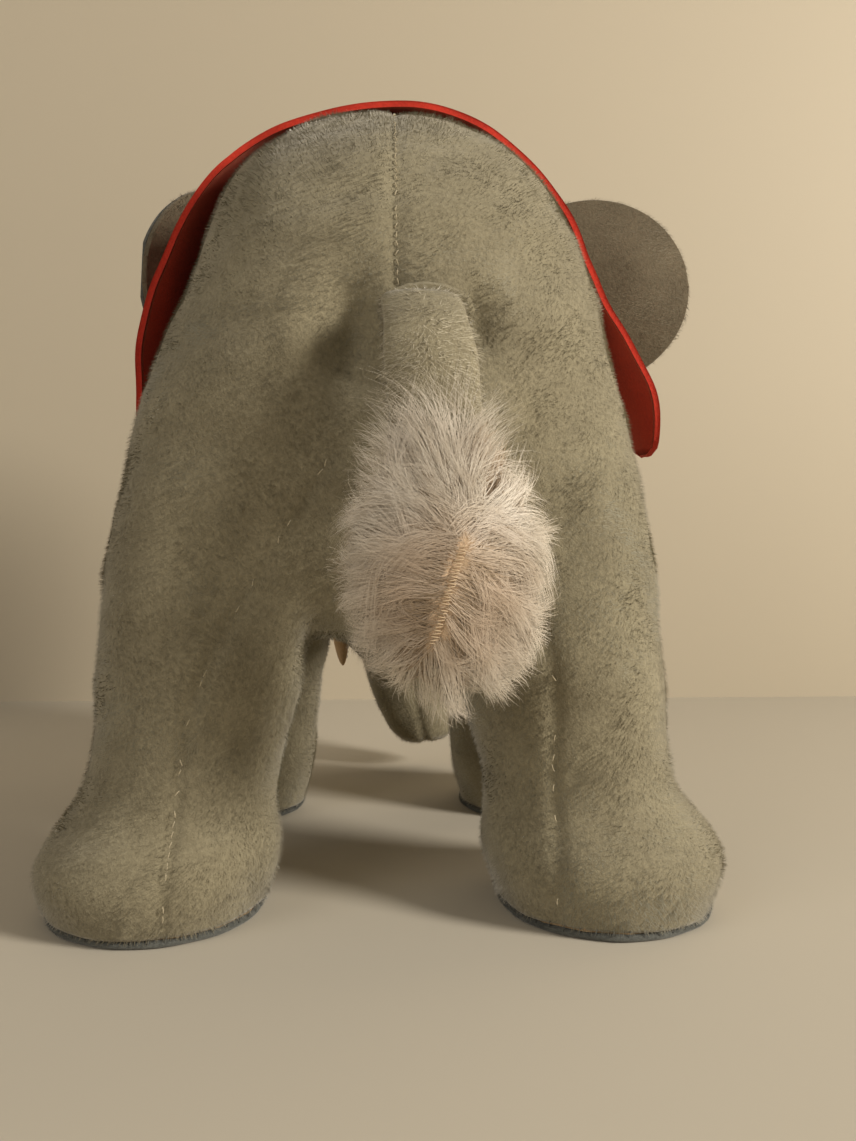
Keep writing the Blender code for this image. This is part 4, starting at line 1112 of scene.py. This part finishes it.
def build_tuft_core():
    """The backing that the long pile grows from: an egg, sewn shut down its rear face."""
    points = []
    for row in range(core_rows):
        polar = math.pi * (row + 0.5) / core_rows
        for turn in circle(core_sides):
            way = (math.sin(polar) * math.cos(turn), math.sin(polar) * math.sin(turn), math.cos(polar))
            spot = Vector(Vector(way)[i] * tuft_size[i] * core_share for i in range(3))
            if spot.y < 0:
                spot.y += 0.0008 * math.exp(-(seam_offset(spot)[0] / 0.0012) ** 2)
            points.append(spot + tuft_middle)
    core = add_mesh("tuft_core", moved(points, tail_place), lofted(core_rows, core_sides, True),
                    tuft_backing, "tail")
    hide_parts("tail_tuft")


def lock_root(rng):
    """A place on the unit ball, mostly on its rear half."""
    turn = rng.uniform(0, 2 * math.pi)
    if rng.random() < 0.82:
        x, z = rng.uniform(-1, 1), rng.uniform(-1, 1)
        while x * x + z * z > 0.96:
            x, z = rng.uniform(-1, 1), rng.uniform(-1, 1)
        return np.array((x, -math.sqrt(1 - x * x - z * z), z))
    z = rng.uniform(-0.95, 0.95)
    ring = math.sqrt(1 - z * z)
    return np.array((ring * math.cos(turn), ring * math.sin(turn), z))


def strands(name, locks, hairs, length, width, spread, seed, finish, out):
    """Long curved hairs in locks. They start on the egg, lean away from the seam, rise to an outer
    egg whose size is a share in the range out, and are drawn together at their tips."""
    rng = np.random.default_rng(seed)
    points = []
    facing = []
    for _ in range(locks):
        place = lock_root(rng) * tuft_size * core_share
        gap, near = seam_offset(place)
        if gap < seam_bare and place[1] < 0:
            continue
        away = np.array((place[0] - near.x, 0, place[2] - near.z)) / gap
        normal = unit(place / tuft_size ** 2)
        way = away + np.array((0, 0, -0.22)) + rng.normal(scale=0.34, size=3) * (1, 0.3, 1)
        way = unit(way - normal * way.dot(normal))
        curl = np.cross(normal, way) * rng.normal(scale=0.85)
        long = rng.uniform(*length) * (0.7 + 0.3 * min(1, gap / 0.012))
        reach = rng.uniform(*out)
        bend = rng.uniform(0, 2 * math.pi)
        for _ in range(rng.integers(hairs // 2, hairs * 3 // 2)):
            start = place + rng.normal(scale=spread, size=3) * (1, 0.3, 1)
            own = way + rng.normal(scale=0.11, size=3)
            drift = rng.normal(scale=0.0006, size=3)
            size = long * rng.uniform(0.7, 1.1)
            half = rng.uniform(*width) / 2
            own_reach = reach + rng.normal(scale=0.025)
            tip_out = unit(normal + 0.25 * own)
            for step in range(strand_steps + 1):
                t = step / strand_steps
                spot = start * (1 - draw_in * t) + place * draw_in * t + own * size * t
                spot = spot + curl * size * (t * t * 0.6 + 0.05 * math.sin(t * 7 + bend))
                spot = spot + np.array((0, 0, -0.14 * size * t * t)) + drift * t
                level = core_share + (own_reach - core_share) * math.sin(math.pi / 2 * t) ** 0.8
                loose = 1.6 * t * max(0.0, spot[2] / tuft_size[2] - 0.5)
                loose *= math.exp(-(place[0] / 0.011) ** 2)
                spot = spot * ((level + loose) / max(np.linalg.norm(spot / tuft_size), 1e-6)) ** hug
                side = unit(np.cross(own, normal)) * half * (1 - 0.85 * t ** 1.5)
                points += [spot - side, spot + side]
                facing += [tip_out, tip_out]
    points = np.array(points) + np.array(tuft_middle)
    per_hair = 2 * (strand_steps + 1)
    start = (np.arange(len(points) // per_hair) * per_hair)[:, None]
    quads = np.concatenate([start + (2 * s, 2 * s + 1, 2 * s + 3, 2 * s + 2) for s in range(strand_steps)])
    add_mesh(name, moved(points, tail_place), quads, finish, "tail", normals=np.array(facing))


def build_tuft_seam():
    """Stitches across the seam, which stands open a little between the parted hair."""
    stitches = []
    for k in range(tuft_stitches):
        flat = tuft_seam[0].lerp(tuft_seam[1], k / (tuft_stitches - 1))
        gone = (flat.x / tuft_size[0]) ** 2 + (flat.z / tuft_size[2]) ** 2
        depth = tuft_size[1] * core_share * math.sqrt(1 - gone / core_share ** 2)
        stitches.append(stitch(tuft_middle + Vector((flat.x, -depth, flat.z)),
                               Vector((1, 0, 0.15 * (-1) ** k)).normalized(), Vector((0, -1, 0)),
                               0.0022, 0.00017))
    sew("tuft_stitches", stitches, "tail", tail_place, tuft_thread)


build_tuft_core()
strands("tuft_under", 360, 16, (0.005, 0.009), (0.0002, 0.00036), 0.0014, 201, tuft_under_finish,
        (0.76, 0.84))
strands("tuft_pile", 400, 34, (0.01, 0.018), (0.00009, 0.00017), 0.0011, 202, tuft_finish,
        (0.8, 1.12))
build_tuft_seam()

# ---- jaw, tusks and eyes
jaw_front = 0.133
jaw_top, jaw_bottom = 0.1175, 0.0455
jaw_rows, jaw_sides = 26, 40
jaw_stations = ((0.0455, 0.016, 0.127), (0.056, 0.025, 0.124), (0.07, 0.027, 0.122),
                (0.088, 0.024, 0.1215), (0.106, 0.019, 0.1225), (0.118, 0.014, 0.124))
tusk_root = (0.026, 0.15, 0.07)
tusk_length = 0.026
tusk_radius = 0.0042
tusk_steps = 26
eye_radius = 0.0042
eye_rows, eye_sides = 18, 40


def build_jaw():
    heights, widths, backs = zip(*jaw_stations)
    points = []
    for row in range(jaw_rows):
        part = row / (jaw_rows - 1)
        height = jaw_top + (jaw_bottom - jaw_top) * math.sin(math.pi / 2 * part)
        wide = np.interp(height, heights, widths) - 0.0008
        back = np.interp(height, heights, backs) + 0.0008
        end = math.sqrt(max(0.05, 1 - max(0, (part - 0.8) / 0.2) ** 2))
        half = (jaw_front - back) / 2
        for turn in circle(jaw_sides):
            c = math.cos(turn)
            deep = min(half * 0.92, half * c * (2 if c > 0 else 1)) * end
            points.append(Vector((lean_at(height) + wide * end * math.sin(turn),
                                  jaw_front - half + deep, height)))
    points = np.array(points)
    faces, normals, triangles = skinned(points, jaw_sides)
    jaw = add_mesh("jaw_cloth", moved(points, on_head), faces, coat_finish, "head")
    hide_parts("lower_jaw")
    pile("jaw_pile", "head", (points, normals, triangles), 1.4e6, (0, 0, -1), 180,
         keep=lambda place, normal: (place[:, 1] < jaw_front - 0.001) & (place[:, 2] < 0.113),
         matrix=on_head, length=(0.0014, 0.0024))


def build_tusk(side, label):
    """A felt cone, curved forward, with its seam sewn down the inner side."""
    x, y, z = tusk_root
    route = []
    radii = []
    for k in range(tusk_steps + 1):
        part = k / tusk_steps
        height = z - tusk_length * part
        route.append(Vector((lean_at(height) + side * (x + 0.003 * part),
                             y + 0.004 * part * part, height)))
        radii.append(tusk_radius * math.sqrt(max(0.012, 1 - part ** 1.6)))
    points, faces = tube(route, radii, 28)
    tusk = add_mesh("tusk_%s_felt" % label, moved(points, on_head), faces, felt_tan, "head")
    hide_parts("tusk_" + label)
    inward = Vector((-side, 0, 0))
    stitches = [stitch(route[k] + inward * radii[k], Vector((0, 0.6, 1)).normalized(), inward, 0.0016)
                for k in range(4, tusk_steps - 2, 2)]
    sew("tusk_%s_stitches" % label, stitches, "head", on_head)


def build_eye(label):
    """A shiny bead, its back sunk in the pile."""
    low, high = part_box("eye_" + label)
    foot, normal, _, _ = head_tree.find_nearest(on_head.inverted() @ ((low + high) / 2))
    base = on_head @ foot
    turn = (on_head.to_3x3() @ normal.normalized()).to_track_quat("Z", "Y").to_matrix()
    points = []
    for row in range(eye_rows):
        angle = math.radians(-38 + 126 * row / (eye_rows - 1))
        level = math.sin(angle) * eye_radius * 0.8 + 0.0012
        wide = math.cos(angle) * eye_radius
        points += [base + turn @ Vector((wide * math.cos(around), wide * math.sin(around), level))
                   for around in circle(eye_sides)]
    bead = add_mesh("eye_%s_bead" % label, points, lofted(eye_rows, eye_sides), glass_finish, "head")
    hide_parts("eye_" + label)


build_jaw()
build_tusk(-1, "left")
build_tusk(1, "right")
head_tree = head_shell.skin.tree(head_shell.points)
build_eye("left")
build_eye("right")

# ---- nodes that stay as they are
for finish, nodes in ((coat_finish, ("tail_root_patch",)), (felt_rose, ("mouth_lining",)),
                      (board_finish, ("body_neck_disc", "head_neck_disc")),
                      (steel_finish, ("body_neck_washer", "head_neck_washer", "neck_pin")),
                      (card_finish, ("sole_card_rear_left", "sole_card_rear_right",
                                     "sole_card_front_left", "sole_card_front_right"))):
    for node in nodes:
        for place in bpy.data.objects[node].material_slots:
            place.material = finish

# ---- room, light and end
stage_half = 4.0
wall_y = stand.y + 0.337
aim = Vector((0, 0, 0.12))
lamps = (    # name, place, size, power, colour
    ("key", (1.1, -0.72, 0.68), 0.4, 20, (1.0, 0.93, 0.82)),
    ("front", (-0.6, 1.5, 0.55), 1.0, 4.0, (1.0, 0.95, 0.88)),
    ("fill", (-1.2, -1.2, 0.9), 1.2, 6.8, (1.0, 0.94, 0.86)),
)


def add_stage(name, corners, colour, roughness, one_sided=False):
    """A plain surface, clear from behind if it is one-sided."""
    mesh = bpy.data.meshes.new(name)
    mesh.from_pydata(corners, [], [(0, 1, 2, 3)])
    made, shader, add, link = new_material(name + "_paint")
    set_up(shader, Base_Color=(*colour, 1), Roughness=roughness)
    if one_sided:
        mix = add("MixShader")
        link(add("NewGeometry").outputs["Backfacing"], mix.inputs[0])
        link(shader.outputs[0], mix.inputs[1])
        link(add("BsdfTransparent").outputs[0], mix.inputs[2])
        link(mix.outputs[0], made.node_tree.nodes["Material Output"].inputs["Surface"])
    mesh.materials.append(made)
    add_object(name, mesh)


def add_world():
    """Soft light from all round, and a plain colour that only the camera sees."""
    world = bpy.data.worlds.new("room")
    world.use_nodes = True
    scene.world = world
    nodes, link = world.node_tree.nodes, world.node_tree.links.new
    nodes.clear()
    seen = set_up(nodes.new("ShaderNodeBackground"), Color=(0.545, 0.455, 0.312, 1))
    light = set_up(nodes.new("ShaderNodeBackground"), Color=(0.9, 0.8, 0.66, 1), Strength=0.25)
    mix = nodes.new("ShaderNodeMixShader")
    link(nodes.new("ShaderNodeLightPath").outputs["Is Camera Ray"], mix.inputs[0])
    link(light.outputs[0], mix.inputs[1])
    link(seen.outputs[0], mix.inputs[2])
    link(mix.outputs[0], nodes.new("ShaderNodeOutputWorld").inputs["Surface"])


s = stage_half
add_stage("floor", [(-s, -s, 0), (s, -s, 0), (s, s, 0), (-s, s, 0)], (0.56, 0.515, 0.43), 0.9)
add_stage("wall", [(-s, wall_y, 0), (s, wall_y, 0), (s, wall_y, s), (-s, wall_y, s)],
          (0.53, 0.465, 0.355), 0.6, one_sided=True)
add_world()
for name, place, size, power, colour in lamps:
    lamp = add_object(name, bpy.data.lights.new(name, "AREA"))
    lamp.data.shape = "DISK"
    lamp.data.size = size
    lamp.data.energy = power
    lamp.data.color = colour
    lamp.location = place
    lamp.rotation_euler = (aim - Vector(place)).to_track_quat("-Z", "Y").to_euler()
